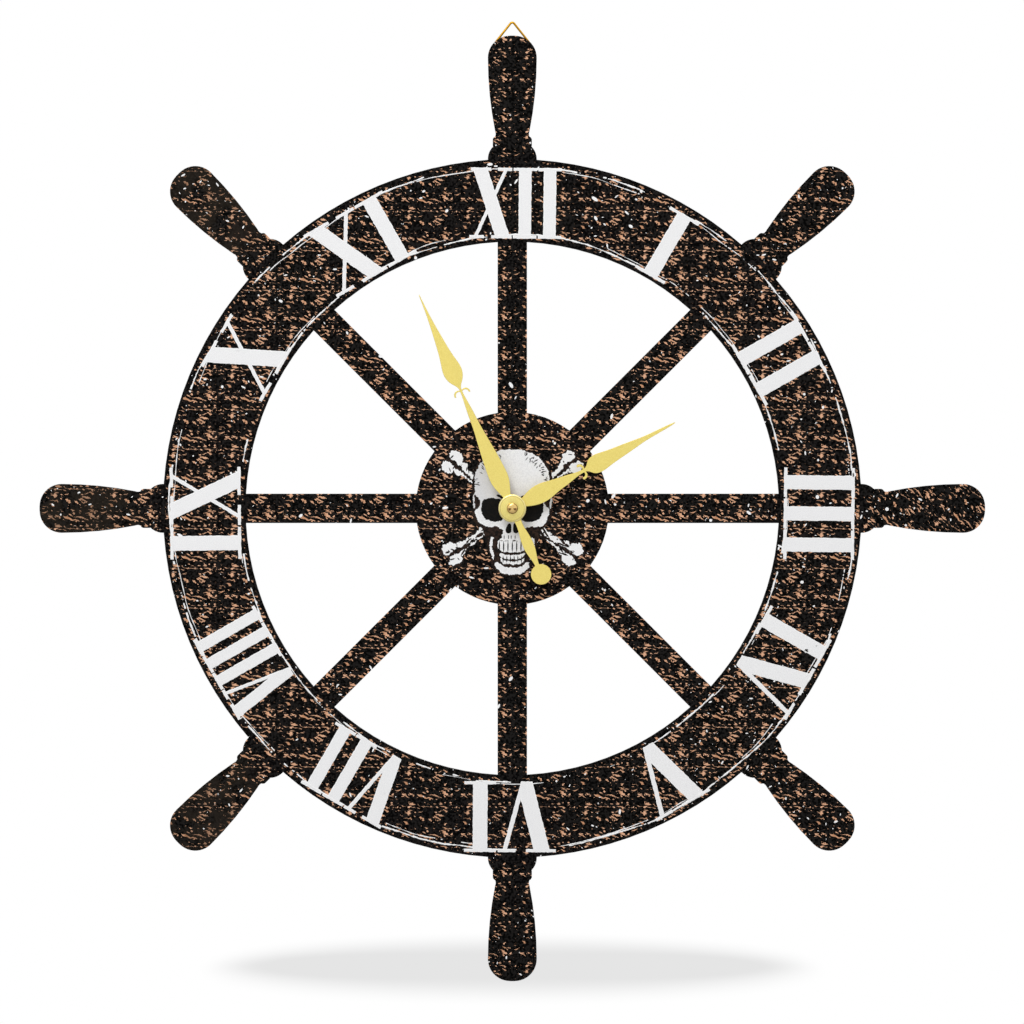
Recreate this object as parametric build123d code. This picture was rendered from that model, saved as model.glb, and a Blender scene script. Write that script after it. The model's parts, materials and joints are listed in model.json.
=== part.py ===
# Oversized wall clock cut as a ship's wheel: printed board, gold hands, quartz movement, hanging ring.
# Millimetres. +Z is up, +X is right as seen from the front, and the dial faces -Y.
# The origin is on the hand axis, in the plane of the wall. "Depth" is the distance out from the wall.
from build123d import *
import math
import os

# Wheel board: one flat sheet with a rim, spokes, hub disc and turned-looking handles
board_thickness = 6.0
rim_radius = 221.7
rim_width = 52.3
hub_radius = 61.3
spoke_width = 18.6
spoke_count = 8
shaft_hole_clearance = 0.3

# Handle outline, from the rim outwards: bell, notch, bead, neck, grip, shoulder, nose
handle_length = 78.3
handle_width = 31.0
bell_length = 7.7
bead_width = 24.8
bead_length = 3.6
bead_roll = 2.2
notch_width = 0.7
notch_depth = 0.5
neck_start_width = 21.8
neck_width = 21.1
neck_length = 3.6
grip_start_width = 21.8
shoulder_radius = 14.0
nose_radius = 25.0

# Movement case
case_side = 56.0
case_depth = 16.0
case_wall = 1.5
case_corner_radius = 3.0
rear_edge_chamfer = 0.6
gasket_thickness = 1.0
gasket_margin = 1.2
cover_gap = 0.1
latch_width = 6.0
latch_length = 6.0
latch_thickness = 0.7
latch_catch = 0.4
latch_height = 8.0

# Battery and its bay at the foot of the case
cell_diameter = 14.5
cell_length = 49.2
cell_button_diameter = 5.5
cell_button_length = 1.3
cell_edge = 0.6
bay_clearance = 0.3
bay_wall = 0.8
bay_partition = 1.2
cell_recess = 0.3

# Threaded bushing and its fasteners, which clamp the board
bushing_radius = 3.9
bushing_flange_radius = 5.0
bushing_flange_thickness = 0.8
bushing_proud = 0.5
washer_radius = 8.0
washer_thickness = 0.6
nut_across_flats = 12.0
nut_thickness = 2.5
nut_chamfer = 0.5

# Centre arbors
seconds_arbor_radius = 0.5
minute_arbor_radius = 1.6
minute_arbor_flats = 2.6
hour_tube_radius = 2.5
running_clearance = 0.05
end_clearance = 0.4

# Hands
hand_thickness = 0.8
hour_hand_length = 116.5
hour_hand_width = 11.9
hour_disc_radius = 8.0
hour_collet_radius = 3.6
hour_collet_length = 1.4
hour_barb_reach = 50.4
hour_barb_width = 9.8
hour_barb_thickness = 1.4
minute_hand_length = 147.5
minute_hand_width = 11.9
minute_disc_radius = 8.85
minute_collet_radius = 2.7
minute_collet_length = 0.7
minute_barb_reach = 80.4
minute_barb_width = 10.6
minute_barb_thickness = 1.0
barb_crest = 0.9
barb_hook = 1.9
hand_gap = 1.4
counterweight_reach = 45.6
counterweight_radius = 6.5
boss_thickness = 0.9
boss_chamfer = 0.6
cap_radius = 3.5
cap_height = 2.7
cap_dome_height = 1.7
cap_wall = 0.7
hour_hand_angle = 62.2
minute_hand_angle = 336.4

# Hand outlines: shares of the hand's length, and of half its width
hour_lower_leaf_shares = [(0.050, 0.30), (0.105, 0.76), (0.165, 1.0), (0.215, 0.93),
                          (0.270, 0.69), (0.345, 0.44), (0.400, 0.22), (0.440, 0.18)]
hour_upper_leaf_shares = [(0.440, 0.18), (0.462, 0.32), (0.482, 0.72), (0.520, 0.98),
                          (0.570, 0.88), (0.625, 0.71), (0.705, 0.53), (0.790, 0.31),
                          (0.870, 0.20), (0.945, 0.14), (1.0, 0.05)]
minute_lower_leaf_shares = [(0.050, 0.36), (0.080, 0.62), (0.130, 0.97), (0.180, 0.97),
                            (0.235, 0.86), (0.310, 0.64), (0.385, 0.43), (0.465, 0.29),
                            (0.540, 0.12), (0.560, 0.12)]
minute_upper_leaf_shares = [(0.560, 0.12), (0.572, 0.24), (0.594, 0.64), (0.632, 1.0),
                            (0.695, 0.80), (0.775, 0.49), (0.850, 0.28), (0.930, 0.12),
                            (1.0, 0.04)]
tail_shares = [(0.100, 0.66), (0.220, 0.35), (0.420, 0.51), (0.660, 0.51), (0.820, 0.26), (0.900, 0.24)]

# Gear train: tooth counts, and the distances between the arbors
cannon_teeth = 12
intermediate_wheel_teeth = 36
intermediate_pinion_teeth = 10
hour_wheel_teeth = 40
knob_pinion_teeth = 12
centre_wheel_teeth = 64
third_pinion_teeth = 8
third_wheel_teeth = 60
seconds_pinion_teeth = 8
seconds_wheel_teeth = 50
fifth_pinion_teeth = 10
fifth_wheel_teeth = 48
rotor_pinion_teeth = 8
motion_centre_distance = 8.4
third_centre_distance = 10.8
fifth_centre_distance = 9.36
rotor_centre_distance = 8.4

# Directions from one arbor to the next, in degrees anticlockwise from +X as seen from the front
intermediate_direction = 160.0
knob_direction = 140.0
third_direction = 0.0
fifth_direction = 90.0
rotor_direction = 20.0

# Tooth form
pressure_angle = 25.0
addendum_share = 0.8
dedendum_share = 1.1
flank_gap = 0.05

# Layers of the train, counted from the front cover's inner face towards the wall
wheel_thickness = 0.8
motion_wheel_thickness = 1.2
layer_gap = 0.4
plate_thickness = 1.0
journal_radius = 0.4
train_arbor_radius = 0.6
post_radius = 0.8
bearing_boss_radius = 1.4
bearing_depth = 0.6
bearing_boss_height = 0.8

# Setting knob
knob_radius = 5.0
knob_thickness = 1.7
knob_recess = 0.4
knob_well_gap = 0.5
knob_arbor_radius = 1.2
knob_notch_count = 12
knob_notch_radius = 0.7

# Stepping motor
rotor_magnet_radius = 2.6
rotor_magnet_length = 2.0
rotor_hub_radius = 1.0
stator_thickness = 1.0
stator_air_gap = 0.5
stator_arm_width = 3.0
coil_length = 20.0
coil_radius = 4.2
core_width = 3.0
core_thickness = 2.0
bobbin_flange_thickness = 1.0
bobbin_wall = 0.6
stator_foot_length = 3.5

# Circuit board and battery contacts
circuit_width = 15.0
circuit_height = 8.5
circuit_thickness = 1.0
chip_radius = 3.0
chip_height = 1.3
crystal_radius = 1.0
crystal_length = 6.0
contact_thickness = 0.4
contact_width = 5.0
contact_gap = 0.1
contact_dimple_radius = 2.5

# Hanging ring, its strap and screw
ring_wire_radius = 0.7
ring_apex_rise = 9.7
ring_side_angle = 38.4
ring_height = 16.9
ring_bend_radius = 1.5
strap_thickness = 0.8
strap_width = 9.0
strap_drop = 9.0
strap_screw_drop = 5.6
strap_wrap_angle = 20.0
screw_head_radius = 2.6
screw_head_height = 1.4
screw_shank_radius = 1.3
screw_shank_bite = 4.0

overrun = 1.0

# Radii and places that follow from the sizes above
rim_inner_radius = rim_radius - rim_width
spoke_reach = rim_radius - rim_width / 2
handle_tip = rim_radius + handle_length
case_half = case_side / 2
case_inner_half = case_half - case_wall
cover_back = case_depth - case_wall
board_back = case_depth + gasket_thickness
board_front = board_back + board_thickness
washer_front = board_front + washer_thickness
nut_front = washer_front + nut_thickness
bushing_front = nut_front + bushing_proud
hour_collet_back = bushing_front + end_clearance
hour_hand_back = hour_collet_back + hour_collet_length
hour_hand_front = hour_hand_back + hand_thickness
hour_tube_front = hour_hand_front + end_clearance
minute_hand_back = hour_hand_front + hand_gap
minute_hand_front = minute_hand_back + hand_thickness
boss_front = minute_hand_front + boss_thickness
cap_front = boss_front + cap_height
minute_arbor_front = cap_front - cap_wall - end_clearance

layer_hour = cover_back - layer_gap
layer_cannon = layer_hour - motion_wheel_thickness - layer_gap
layer_centre = layer_cannon - motion_wheel_thickness - layer_gap
middle_plate_front = layer_centre - wheel_thickness - end_clearance
middle_plate_back = middle_plate_front - plate_thickness
layer_third = middle_plate_back - end_clearance
layer_seconds = layer_third - wheel_thickness - layer_gap
layer_fifth = layer_seconds - wheel_thickness - layer_gap
magnet_front = layer_fifth - wheel_thickness - layer_gap
magnet_back = magnet_front - rotor_magnet_length
stator_back = magnet_back + (rotor_magnet_length - stator_thickness) / 2
stator_front = stator_back + stator_thickness
knob_front = knob_recess + knob_thickness
journal_back = case_wall + bearing_depth / 2
boss_reach = case_wall + bearing_boss_height

cell_radius = cell_diameter / 2
bay_radius = cell_radius + bay_clearance
cell_depth = cell_recess + cell_radius
bay_floor = case_wall - bay_clearance
bay_z = -case_half + bay_floor + bay_radius
bay_top = bay_z + bay_radius
gear_room_bottom = bay_top + bay_partition
cell_right = case_inner_half - contact_thickness - contact_gap
cell_left = cell_right - cell_length - cell_button_length
contact_back = cell_depth - contact_width / 2

bar_z = handle_tip + ring_apex_rise - ring_height
strap_bore_radius = ring_wire_radius + running_clearance
strap_loop_radius = strap_bore_radius + strap_thickness
ring_depth = board_back - strap_loop_radius
screw_z = bar_z - strap_screw_drop


def place_from(start, distance, direction):
    """A point at this distance and direction, in degrees, from another point of the same plane."""
    angle = math.radians(direction)
    return (start[0] + distance * math.cos(angle), start[1] + distance * math.sin(angle))


centre_axis = (0, 0)
intermediate_axis = place_from(centre_axis, motion_centre_distance, intermediate_direction)
knob_axis = place_from(intermediate_axis, motion_centre_distance, knob_direction)
third_axis = place_from(centre_axis, third_centre_distance, third_direction)
fifth_axis = place_from(centre_axis, fifth_centre_distance, fifth_direction)
rotor_axis = place_from(fifth_axis, rotor_centre_distance, rotor_direction)
coil_z = case_inner_half - bobbin_flange_thickness / 2 - coil_radius
circuit_x = -case_inner_half + contact_thickness + contact_gap + circuit_width / 2
circuit_z = case_inner_half - contact_thickness - contact_gap - circuit_height / 2
circuit_back = middle_plate_back


def slab(outline, back, front):
    """A plate with this outline, between two depths from the wall."""
    plane = Plane(origin=(0, -back, 0), x_dir=(1, 0, 0), z_dir=(0, -1, 0))
    return plane * extrude(outline, amount=front - back)


def disc(radius, back, front, axis=centre_axis, bore=0):
    """A round plate or a tube on an axis, between two depths."""
    outline = Pos(*axis) * Circle(radius)
    if bore:
        outline -= Pos(*axis) * Circle(bore)
    return slab(outline, back, front)


def mirrored_face(edges):
    """A closed face from the upper half of its outline, which starts and ends on the X axis."""
    upper = Wire(edges)
    return make_face(Wire([*upper.edges(), *upper.mirror(Plane.XZ).edges()]))


def handle_face():
    """One handle along +X: bell, notch, bead, neck, swelling grip and a blunt round nose."""
    half = handle_width / 2
    bead_half = bead_width / 2
    bell_end = rim_radius + bell_length
    bead_start = bell_end + notch_width
    bead_end = bead_start + bead_length
    neck_start = bead_end + bead_roll
    neck_end = neck_start + neck_length
    nose_centre = handle_tip - nose_radius
    shoulder_y = half - shoulder_radius
    shoulder_x = nose_centre + math.sqrt((nose_radius - shoulder_radius) ** 2 - shoulder_y ** 2)
    join = math.atan2(shoulder_y, shoulder_x - nose_centre)
    middle = (join + math.pi / 2) / 2
    join_point = (nose_centre + nose_radius * math.cos(join), nose_radius * math.sin(join))
    shoulder_middle = (shoulder_x + shoulder_radius * math.cos(middle),
                       shoulder_y + shoulder_radius * math.sin(middle))
    nose_middle = (nose_centre + nose_radius * math.cos(join / 2), nose_radius * math.sin(join / 2))
    start = (spoke_reach, half)
    upper = [Line((spoke_reach, 0), start),
             Line(start, (rim_radius, half)),
             TangentArc((rim_radius, half), (bell_end, bead_half), tangent=(1, 0)),
             Line((bell_end, bead_half), (bell_end + notch_width / 2, bead_half - notch_depth)),
             Line((bell_end + notch_width / 2, bead_half - notch_depth), (bead_start, bead_half)),
             Line((bead_start, bead_half), (bead_end, bead_half)),
             TangentArc((bead_end, bead_half), (neck_start, neck_start_width / 2), tangent=(1, 0)),
             ThreePointArc((neck_start, neck_start_width / 2),
                           (neck_start + neck_length / 2, neck_width / 2),
                           (neck_end, grip_start_width / 2)),
             TangentArc((shoulder_x, half), (neck_end, grip_start_width / 2), tangent=(-1, 0)),
             ThreePointArc((shoulder_x, half), shoulder_middle, join_point),
             ThreePointArc(join_point, nose_middle, (handle_tip, 0))]
    return mirrored_face(upper)


def wheel_board():
    """The cut board: rim, hub disc, spokes and handles in one sheet, with its drilled holes."""
    outline = Circle(rim_radius) - Circle(rim_inner_radius) + Circle(hub_radius)
    spoke = Pos(spoke_reach / 2, 0) * Rectangle(spoke_reach, spoke_width)
    arm = spoke + handle_face()
    for index in range(spoke_count):
        outline += Rot(0, 0, 360 / spoke_count * index + 90) * arm
    outline -= Circle(bushing_radius + shaft_hole_clearance)
    board = slab(outline, board_back, board_front)
    pilot = disc(screw_shank_radius, board_back - overrun, board_back + screw_shank_bite, (0, screw_z))
    return board - pilot


def rounded_square(side):
    """The movement's outline in plan."""
    return RectangleRounded(side, side, case_corner_radius)


def bay_outline(radius):
    """The battery trough in section: a round floor with straight walls out to the wall side.

    Drawn with local X as depth and local Y as height.
    """
    centre = Pos(cell_depth, bay_z)
    walls = Pos(cell_depth / 2 - overrun / 2, bay_z) * Rectangle(cell_depth + overrun, 2 * radius)
    return centre * Circle(radius) + walls


def along_x(outline, start, end):
    """An outline drawn as depth and height, swept along X."""
    plane = Plane(origin=(end, 0, 0), x_dir=(0, -1, 0), z_dir=(-1, 0, 0))
    return plane * extrude(outline, amount=end - start)


def upper_room(inset):
    """The part of the case in plan that lies above the battery bay, drawn in from the case's edge."""
    top = case_half - inset
    height = top - gear_room_bottom
    return Pos(0, gear_room_bottom + height / 2) * Rectangle(2 * top, height)


def latch(side, gap, front):
    """A snap tongue of the cover in the case's side wall, with its catch; a gap makes its pocket."""
    outer = case_half + (overrun if gap else 0)
    inner = case_half - latch_thickness - gap
    tongue = Pos(side * (outer + inner) / 2, latch_height) * Rectangle(outer - inner, latch_width + 2 * gap)
    catch_inner = inner - latch_catch
    catch = Pos(side * (outer + catch_inner) / 2, latch_height) * Rectangle(
        outer - catch_inner, latch_width + 2 * gap)
    tip = cover_back - latch_length
    return slab(tongue, tip - gap, front) + slab(catch, tip - gap, tip + latch_thickness + gap)


def rear_case():
    """The moulded shell on the wall side: gear room, battery trough, bearing bosses and knob well."""
    body = slab(rounded_square(case_side), 0, case_depth)
    body = chamfer(body.faces().sort_by(Axis.Y)[-1].edges(), rear_edge_chamfer)
    room_height = case_inner_half - gear_room_bottom
    room = slab(Pos(0, gear_room_bottom + room_height / 2) * Rectangle(2 * case_inner_half, room_height),
                case_wall, case_depth + overrun)
    seat_bottom = gear_room_bottom - bay_partition / 2
    seat_height = case_half - seat_bottom
    seat = slab(Pos(0, seat_bottom + seat_height / 2) * Rectangle(case_side + overrun, seat_height),
                cover_back, case_depth + overrun)
    trough = along_x(bay_outline(bay_radius), -case_inner_half, case_inner_half)
    body = body - room - seat - trough
    for axis in (third_axis, centre_axis, fifth_axis, rotor_axis):
        body += disc(bearing_boss_radius, case_wall / 2, boss_reach, axis)
    well_inner = knob_radius + knob_well_gap
    well_floor = knob_front + end_clearance
    body += disc(well_inner + case_wall, case_wall / 2, well_floor + bay_wall, knob_axis)
    body -= disc(well_inner, -overrun, well_floor, knob_axis)
    body -= disc(knob_arbor_radius + running_clearance, -overrun, boss_reach + case_wall, knob_axis)
    for axis in (third_axis, fifth_axis, rotor_axis):
        body -= disc(journal_radius + running_clearance, case_wall, boss_reach + overrun, axis)
    body -= disc(seconds_arbor_radius + running_clearance, case_wall, boss_reach + overrun)
    for side in (-1, 1):
        body -= latch(side, cover_gap, case_depth + overrun)
        slot_x = side * (case_inner_half - contact_thickness / 2 - contact_gap / 2)
        body -= slab(Pos(slot_x, bay_top) * Rectangle(contact_thickness + contact_gap, 2 * bay_partition),
                     contact_back - contact_gap, contact_back + contact_width + contact_gap)
    return body


def front_cover():
    """The flat cover on the dial side, which carries the bushing, bearing holes and the wheel post."""
    bottom = gear_room_bottom - bay_partition / 2 + cover_gap
    height = case_half - bottom
    plate = rounded_square(case_side) & Pos(0, bottom + height / 2) * Rectangle(case_side, height)
    cover = slab(plate, cover_back, case_depth)
    cover -= disc(bushing_radius, cover_back - overrun, case_depth + overrun)
    cover -= disc(bushing_flange_radius, cover_back - overrun, cover_back + bushing_flange_thickness)
    post_back = layer_cannon - motion_wheel_thickness
    cover += disc(post_radius, post_back, cover_back + bearing_depth / 2, intermediate_axis)
    for axis in (third_axis, knob_axis):
        cover -= disc(journal_radius + running_clearance, cover_back - overrun,
                      cover_back + bearing_depth, axis)
    for side in (-1, 1):
        cover += latch(side, 0, case_depth)
    lip_inner = case_inner_half - cover_gap - case_wall / 2
    lip_outline = upper_room(case_wall + cover_gap) - upper_room(case_wall + cover_gap + case_wall / 2)
    lip_outline &= Pos(0, case_half) * Rectangle(2 * case_side, 2 * (case_half - lip_inner))
    cover += slab(lip_outline, cover_back - case_wall / 2, cover_back)
    return cover


def rubber_gasket():
    """The soft washer sheet between the movement and the board."""
    side = case_side - 2 * gasket_margin
    outline = RectangleRounded(side, side, case_corner_radius)
    outline -= Circle(bushing_radius + shaft_hole_clearance)
    return slab(outline, case_depth, board_back)


def middle_plate():
    """The bearing plate inside the movement, between the motion work and the fast wheels."""
    top = rotor_axis[1] + bearing_boss_radius
    height = top - gear_room_bottom
    width = 2 * case_inner_half - 2 * contact_thickness - 4 * contact_gap
    outline = Pos(0, gear_room_bottom + height / 2) * Rectangle(width, height)
    pinion_tip = tip_radius(third_wheel_pair(), third_pinion_teeth)
    outline -= Pos(*third_axis) * Circle(pinion_tip + end_clearance)
    outline -= Circle(minute_arbor_radius + running_clearance)
    for axis in (fifth_axis, rotor_axis):
        outline -= Pos(*axis) * Circle(journal_radius + running_clearance)
    outline -= Pos(*knob_axis) * Circle(knob_arbor_radius + running_clearance)
    return slab(outline, middle_plate_back, middle_plate_front)


def threaded_bushing():
    """The brass tube through the board, with its flange behind the cover. Its thread is not cut."""
    bore = hour_tube_radius + running_clearance
    body = disc(bushing_radius, cover_back, bushing_front, bore=bore)
    flange = disc(bushing_flange_radius, cover_back, cover_back + bushing_flange_thickness, bore=bore)
    return body + flange


def brass_washer():
    """The flat washer under the nut."""
    return disc(washer_radius, board_front, washer_front, bore=bushing_radius + running_clearance)


def hex_nut():
    """The thin nut that clamps the board, with its front corners turned off."""
    bore = bushing_radius + running_clearance
    corner_radius = nut_across_flats / 2 / math.cos(math.radians(30))
    nut = slab(RegularPolygon(corner_radius, 6), washer_front, nut_front)
    turned = disc(corner_radius, washer_front, nut_front)
    turned = chamfer(turned.faces().sort_by(Axis.Y)[0].edges(), nut_chamfer)
    return (nut & turned) - disc(bore, washer_front - overrun, nut_front + overrun)


def module_of(pair):
    """The gear module that makes two tooth counts fit a centre distance."""
    distance, teeth_a, teeth_b = pair
    return 2 * distance / (teeth_a + teeth_b)


def tip_radius(pair, teeth):
    """The outer radius of one gear of a pair."""
    module = module_of(pair)
    return module * teeth / 2 + addendum_share * module


def third_wheel_pair():
    """Centre wheel and third pinion."""
    return (third_centre_distance, centre_wheel_teeth, third_pinion_teeth)


def tooth_half_angle(radius, pitch, teeth):
    """Half the angle that one tooth takes at a radius, on an involute flank thinned for backlash."""
    pressure = math.radians(pressure_angle)
    base = pitch * math.cos(pressure)
    local = math.acos(min(base / radius, 1))
    at_pitch = math.pi / (2 * teeth) - flank_gap / (2 * pitch)
    return at_pitch + (math.tan(pressure) - pressure) - (math.tan(local) - local)


def gear(pair, teeth, back, thickness, axis, phase=0, bore=0):
    """A gear prism: one closed line around all teeth, with the first tooth at the phase angle."""
    module = module_of(pair)
    pitch = module * teeth / 2
    base = pitch * math.cos(math.radians(pressure_angle))
    root = pitch - dedendum_share * module
    tip = pitch + addendum_share * module
    radii = [root, base, tip] if base > root else [root, tip]
    points = []
    for tooth in range(teeth):
        middle = phase + 2 * math.pi * tooth / teeth
        for side, rising in ((-1, radii), (1, reversed(radii))):
            for radius in rising:
                angle = middle + side * tooth_half_angle(radius, pitch, teeth)
                points.append((radius * math.cos(angle), radius * math.sin(angle)))
    outline = make_face(Polyline(*points, close=True))
    if bore:
        outline -= Circle(bore)
    return slab(Pos(*axis) * outline, back, back + thickness)


def meshing_phase(direction, teeth_a, phase_a, teeth_b):
    """The phase of gear B that puts a gap of B on a tooth of A, where B lies in this direction."""
    angle = math.radians(direction)
    turns = (angle - phase_a) * teeth_a / (2 * math.pi)
    return angle + math.pi - (0.5 - turns) * 2 * math.pi / teeth_b


cannon_pair = (motion_centre_distance, cannon_teeth, intermediate_wheel_teeth)
hour_pair = (motion_centre_distance, intermediate_pinion_teeth, hour_wheel_teeth)
centre_pair = third_wheel_pair()
third_pair = (third_centre_distance, third_wheel_teeth, seconds_pinion_teeth)
seconds_pair = (fifth_centre_distance, seconds_wheel_teeth, fifth_pinion_teeth)
fifth_pair = (rotor_centre_distance, fifth_wheel_teeth, rotor_pinion_teeth)

intermediate_phase = meshing_phase(intermediate_direction, cannon_teeth, 0, intermediate_wheel_teeth)
knob_phase = meshing_phase(knob_direction, intermediate_wheel_teeth, intermediate_phase, knob_pinion_teeth)
hour_wheel_phase = meshing_phase(intermediate_direction + 180, intermediate_pinion_teeth,
                                 intermediate_phase, hour_wheel_teeth)
third_pinion_phase = meshing_phase(third_direction, centre_wheel_teeth, 0, third_pinion_teeth)
seconds_pinion_phase = meshing_phase(third_direction + 180, third_wheel_teeth, 0, seconds_pinion_teeth)
fifth_pinion_phase = meshing_phase(fifth_direction, seconds_wheel_teeth, 0, fifth_pinion_teeth)
rotor_pinion_phase = meshing_phase(rotor_direction, fifth_wheel_teeth, 0, rotor_pinion_teeth)


def minute_arbor():
    """The hollow minute arbor with its cannon pinion, and flats where the hand sits."""
    bore = seconds_arbor_radius + running_clearance
    arbor = disc(minute_arbor_radius, middle_plate_back, minute_arbor_front)
    arbor += gear(cannon_pair, cannon_teeth, layer_cannon - motion_wheel_thickness,
                  motion_wheel_thickness, centre_axis)
    flat_outline = Circle(2 * minute_arbor_radius) - Rectangle(minute_arbor_flats, 4 * minute_arbor_radius)
    arbor -= slab(flat_outline, hour_tube_front, minute_arbor_front + overrun)
    return arbor - disc(bore, middle_plate_back - overrun, minute_arbor_front + overrun)


def hour_wheel():
    """The hour wheel and the tube that carries the hour hand."""
    bore = minute_arbor_radius + running_clearance
    wheel = gear(hour_pair, hour_wheel_teeth, layer_hour - motion_wheel_thickness,
                 motion_wheel_thickness, centre_axis, hour_wheel_phase)
    tube = disc(hour_tube_radius, layer_hour - motion_wheel_thickness, hour_tube_front)
    return wheel + tube - disc(bore, case_wall, hour_tube_front + overrun)


def intermediate_wheel():
    """The wheel and pinion that slow the minute arbor down to the hour wheel."""
    bore = post_radius + running_clearance
    wheel = gear(cannon_pair, intermediate_wheel_teeth, layer_cannon - motion_wheel_thickness,
                 motion_wheel_thickness, intermediate_axis, intermediate_phase, bore)
    pinion = gear(hour_pair, intermediate_pinion_teeth, layer_cannon,
                  layer_hour - layer_cannon, intermediate_axis, intermediate_phase, bore)
    return wheel + pinion


def setting_knob():
    """The knob on the back that sets the hands, with its arbor and pinion."""
    knob = disc(knob_radius, knob_recess, knob_front, knob_axis)
    for index in range(knob_notch_count):
        place = place_from(knob_axis, knob_radius, 360 / knob_notch_count * index)
        knob -= disc(knob_notch_radius, knob_recess - overrun, knob_front + overrun, place)
    arbor = disc(knob_arbor_radius, knob_recess, layer_cannon, knob_axis)
    pinion = gear(cannon_pair, knob_pinion_teeth, layer_cannon - motion_wheel_thickness,
                  motion_wheel_thickness, knob_axis, knob_phase)
    journal = disc(journal_radius, layer_cannon, cover_back + bearing_depth / 2, knob_axis)
    return knob + arbor + pinion + journal


def centre_wheel():
    """The wheel that drives the minute arbor through a friction fit."""
    return gear(centre_pair, centre_wheel_teeth, layer_centre - wheel_thickness, wheel_thickness,
                centre_axis, bore=minute_arbor_radius + running_clearance)


def third_wheel():
    """Third wheel behind the middle plate, with its pinion in front of it."""
    wheel = gear(third_pair, third_wheel_teeth, layer_third - wheel_thickness, wheel_thickness, third_axis)
    pinion = gear(centre_pair, third_pinion_teeth, layer_centre - wheel_thickness, wheel_thickness,
                  third_axis, third_pinion_phase)
    arbor = disc(train_arbor_radius, boss_reach + end_clearance, cover_back - end_clearance, third_axis)
    journal = disc(journal_radius, journal_back, cover_back + bearing_depth / 2, third_axis)
    return wheel + pinion + arbor + journal


def seconds_wheel():
    """Seconds wheel, its pinion and the thin arbor that runs inside the minute arbor."""
    wheel = gear(seconds_pair, seconds_wheel_teeth, layer_seconds - wheel_thickness, wheel_thickness,
                 centre_axis)
    pinion = gear(third_pair, seconds_pinion_teeth, layer_seconds, layer_third - layer_seconds,
                  centre_axis, seconds_pinion_phase)
    arbor = disc(seconds_arbor_radius, journal_back, minute_hand_back)
    return wheel + pinion + arbor


def fifth_wheel():
    """Fifth wheel and pinion, between the rotor and the seconds wheel."""
    wheel = gear(fifth_pair, fifth_wheel_teeth, layer_fifth - wheel_thickness, wheel_thickness, fifth_axis)
    pinion = gear(seconds_pair, fifth_pinion_teeth, layer_fifth, layer_seconds - layer_fifth,
                  fifth_axis, fifth_pinion_phase)
    arbor = disc(train_arbor_radius, boss_reach + end_clearance, middle_plate_back - end_clearance,
                 fifth_axis)
    journal = disc(journal_radius, journal_back, middle_plate_front, fifth_axis)
    return wheel + pinion + arbor + journal


def rotor():
    """The motor's plastic rotor: pinion, hub under the magnet and two journals."""
    pinion = gear(fifth_pair, rotor_pinion_teeth, layer_fifth - wheel_thickness, wheel_thickness,
                  rotor_axis, rotor_pinion_phase)
    hub = disc(rotor_hub_radius, magnet_back, layer_fifth, rotor_axis)
    journal = disc(journal_radius, journal_back, middle_plate_front, rotor_axis)
    return pinion + hub + journal


def rotor_magnet():
    """The ring magnet on the rotor."""
    return disc(rotor_magnet_radius, magnet_back, magnet_front, rotor_axis, bore=rotor_hub_radius)


coil_left = rotor_axis[0] - coil_length / 2
coil_right = rotor_axis[0] + coil_length / 2
core_front = stator_front + core_thickness


def coil_core():
    """The iron bar through the coil, which lies on the stator's two feet."""
    reach = coil_length / 2 + stator_foot_length
    bar = Pos(rotor_axis[0], coil_z) * Rectangle(2 * reach, core_width)
    return slab(bar, stator_front, core_front)


def stator():
    """The flat iron plate around the rotor, with two arms up to the ends of the core."""
    hole = rotor_magnet_radius + stator_air_gap
    ring = Pos(*rotor_axis) * Circle(hole + stator_arm_width / 2)
    outline = ring
    for side in (-1, 1):
        foot_x = rotor_axis[0] + side * (coil_length / 2 + stator_foot_length / 2)
        arm_height = coil_z + core_width / 2 - rotor_axis[1] + stator_arm_width / 2
        arm_z = coil_z + core_width / 2 - arm_height / 2
        outline += Pos(foot_x, arm_z) * Rectangle(stator_foot_length, arm_height)
        outline += Pos((foot_x + rotor_axis[0]) / 2, rotor_axis[1]) * Rectangle(
            abs(foot_x - rotor_axis[0]), stator_arm_width)
    outline -= Pos(*rotor_axis) * Circle(hole)
    return slab(outline, stator_back, stator_front)


def coil_bobbin():
    """The plastic spool between the core and the winding."""
    centre_depth = (stator_front + core_front) / 2
    core = Pos(centre_depth, coil_z) * Rectangle(core_thickness, core_width)
    barrel = Pos(centre_depth, coil_z) * Rectangle(core_thickness + 2 * bobbin_wall,
                                                   core_width + 2 * bobbin_wall)
    flange = Pos(centre_depth, coil_z) * Rectangle(2 * flange_half_depth, 2 * coil_radius)
    spool = along_x(barrel - core, coil_left + contact_gap, coil_right - contact_gap)
    for start in (coil_left + contact_gap, coil_right - contact_gap - bobbin_flange_thickness):
        spool += along_x(flange - core, start, start + bobbin_flange_thickness)
    return spool


flange_half_depth = core_thickness / 2 + bobbin_wall + stator_thickness + contact_gap


def coil_winding():
    """The copper winding as one solid block of turns on the spool."""
    centre_depth = (stator_front + core_front) / 2
    barrel = Pos(centre_depth, coil_z) * Rectangle(core_thickness + 2 * bobbin_wall,
                                                   core_width + 2 * bobbin_wall)
    block = Pos(centre_depth, coil_z) * RectangleRounded(2 * flange_half_depth - bobbin_wall,
                                                         2 * coil_radius - bobbin_wall, bobbin_wall)
    return along_x(block - barrel, coil_left + contact_gap + bobbin_flange_thickness,
                   coil_right - contact_gap - bobbin_flange_thickness)


def circuit_board():
    """The small circuit board beside the coil."""
    outline = Pos(circuit_x, circuit_z) * Rectangle(circuit_width, circuit_height)
    return slab(outline, circuit_back, circuit_back + circuit_thickness)


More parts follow.
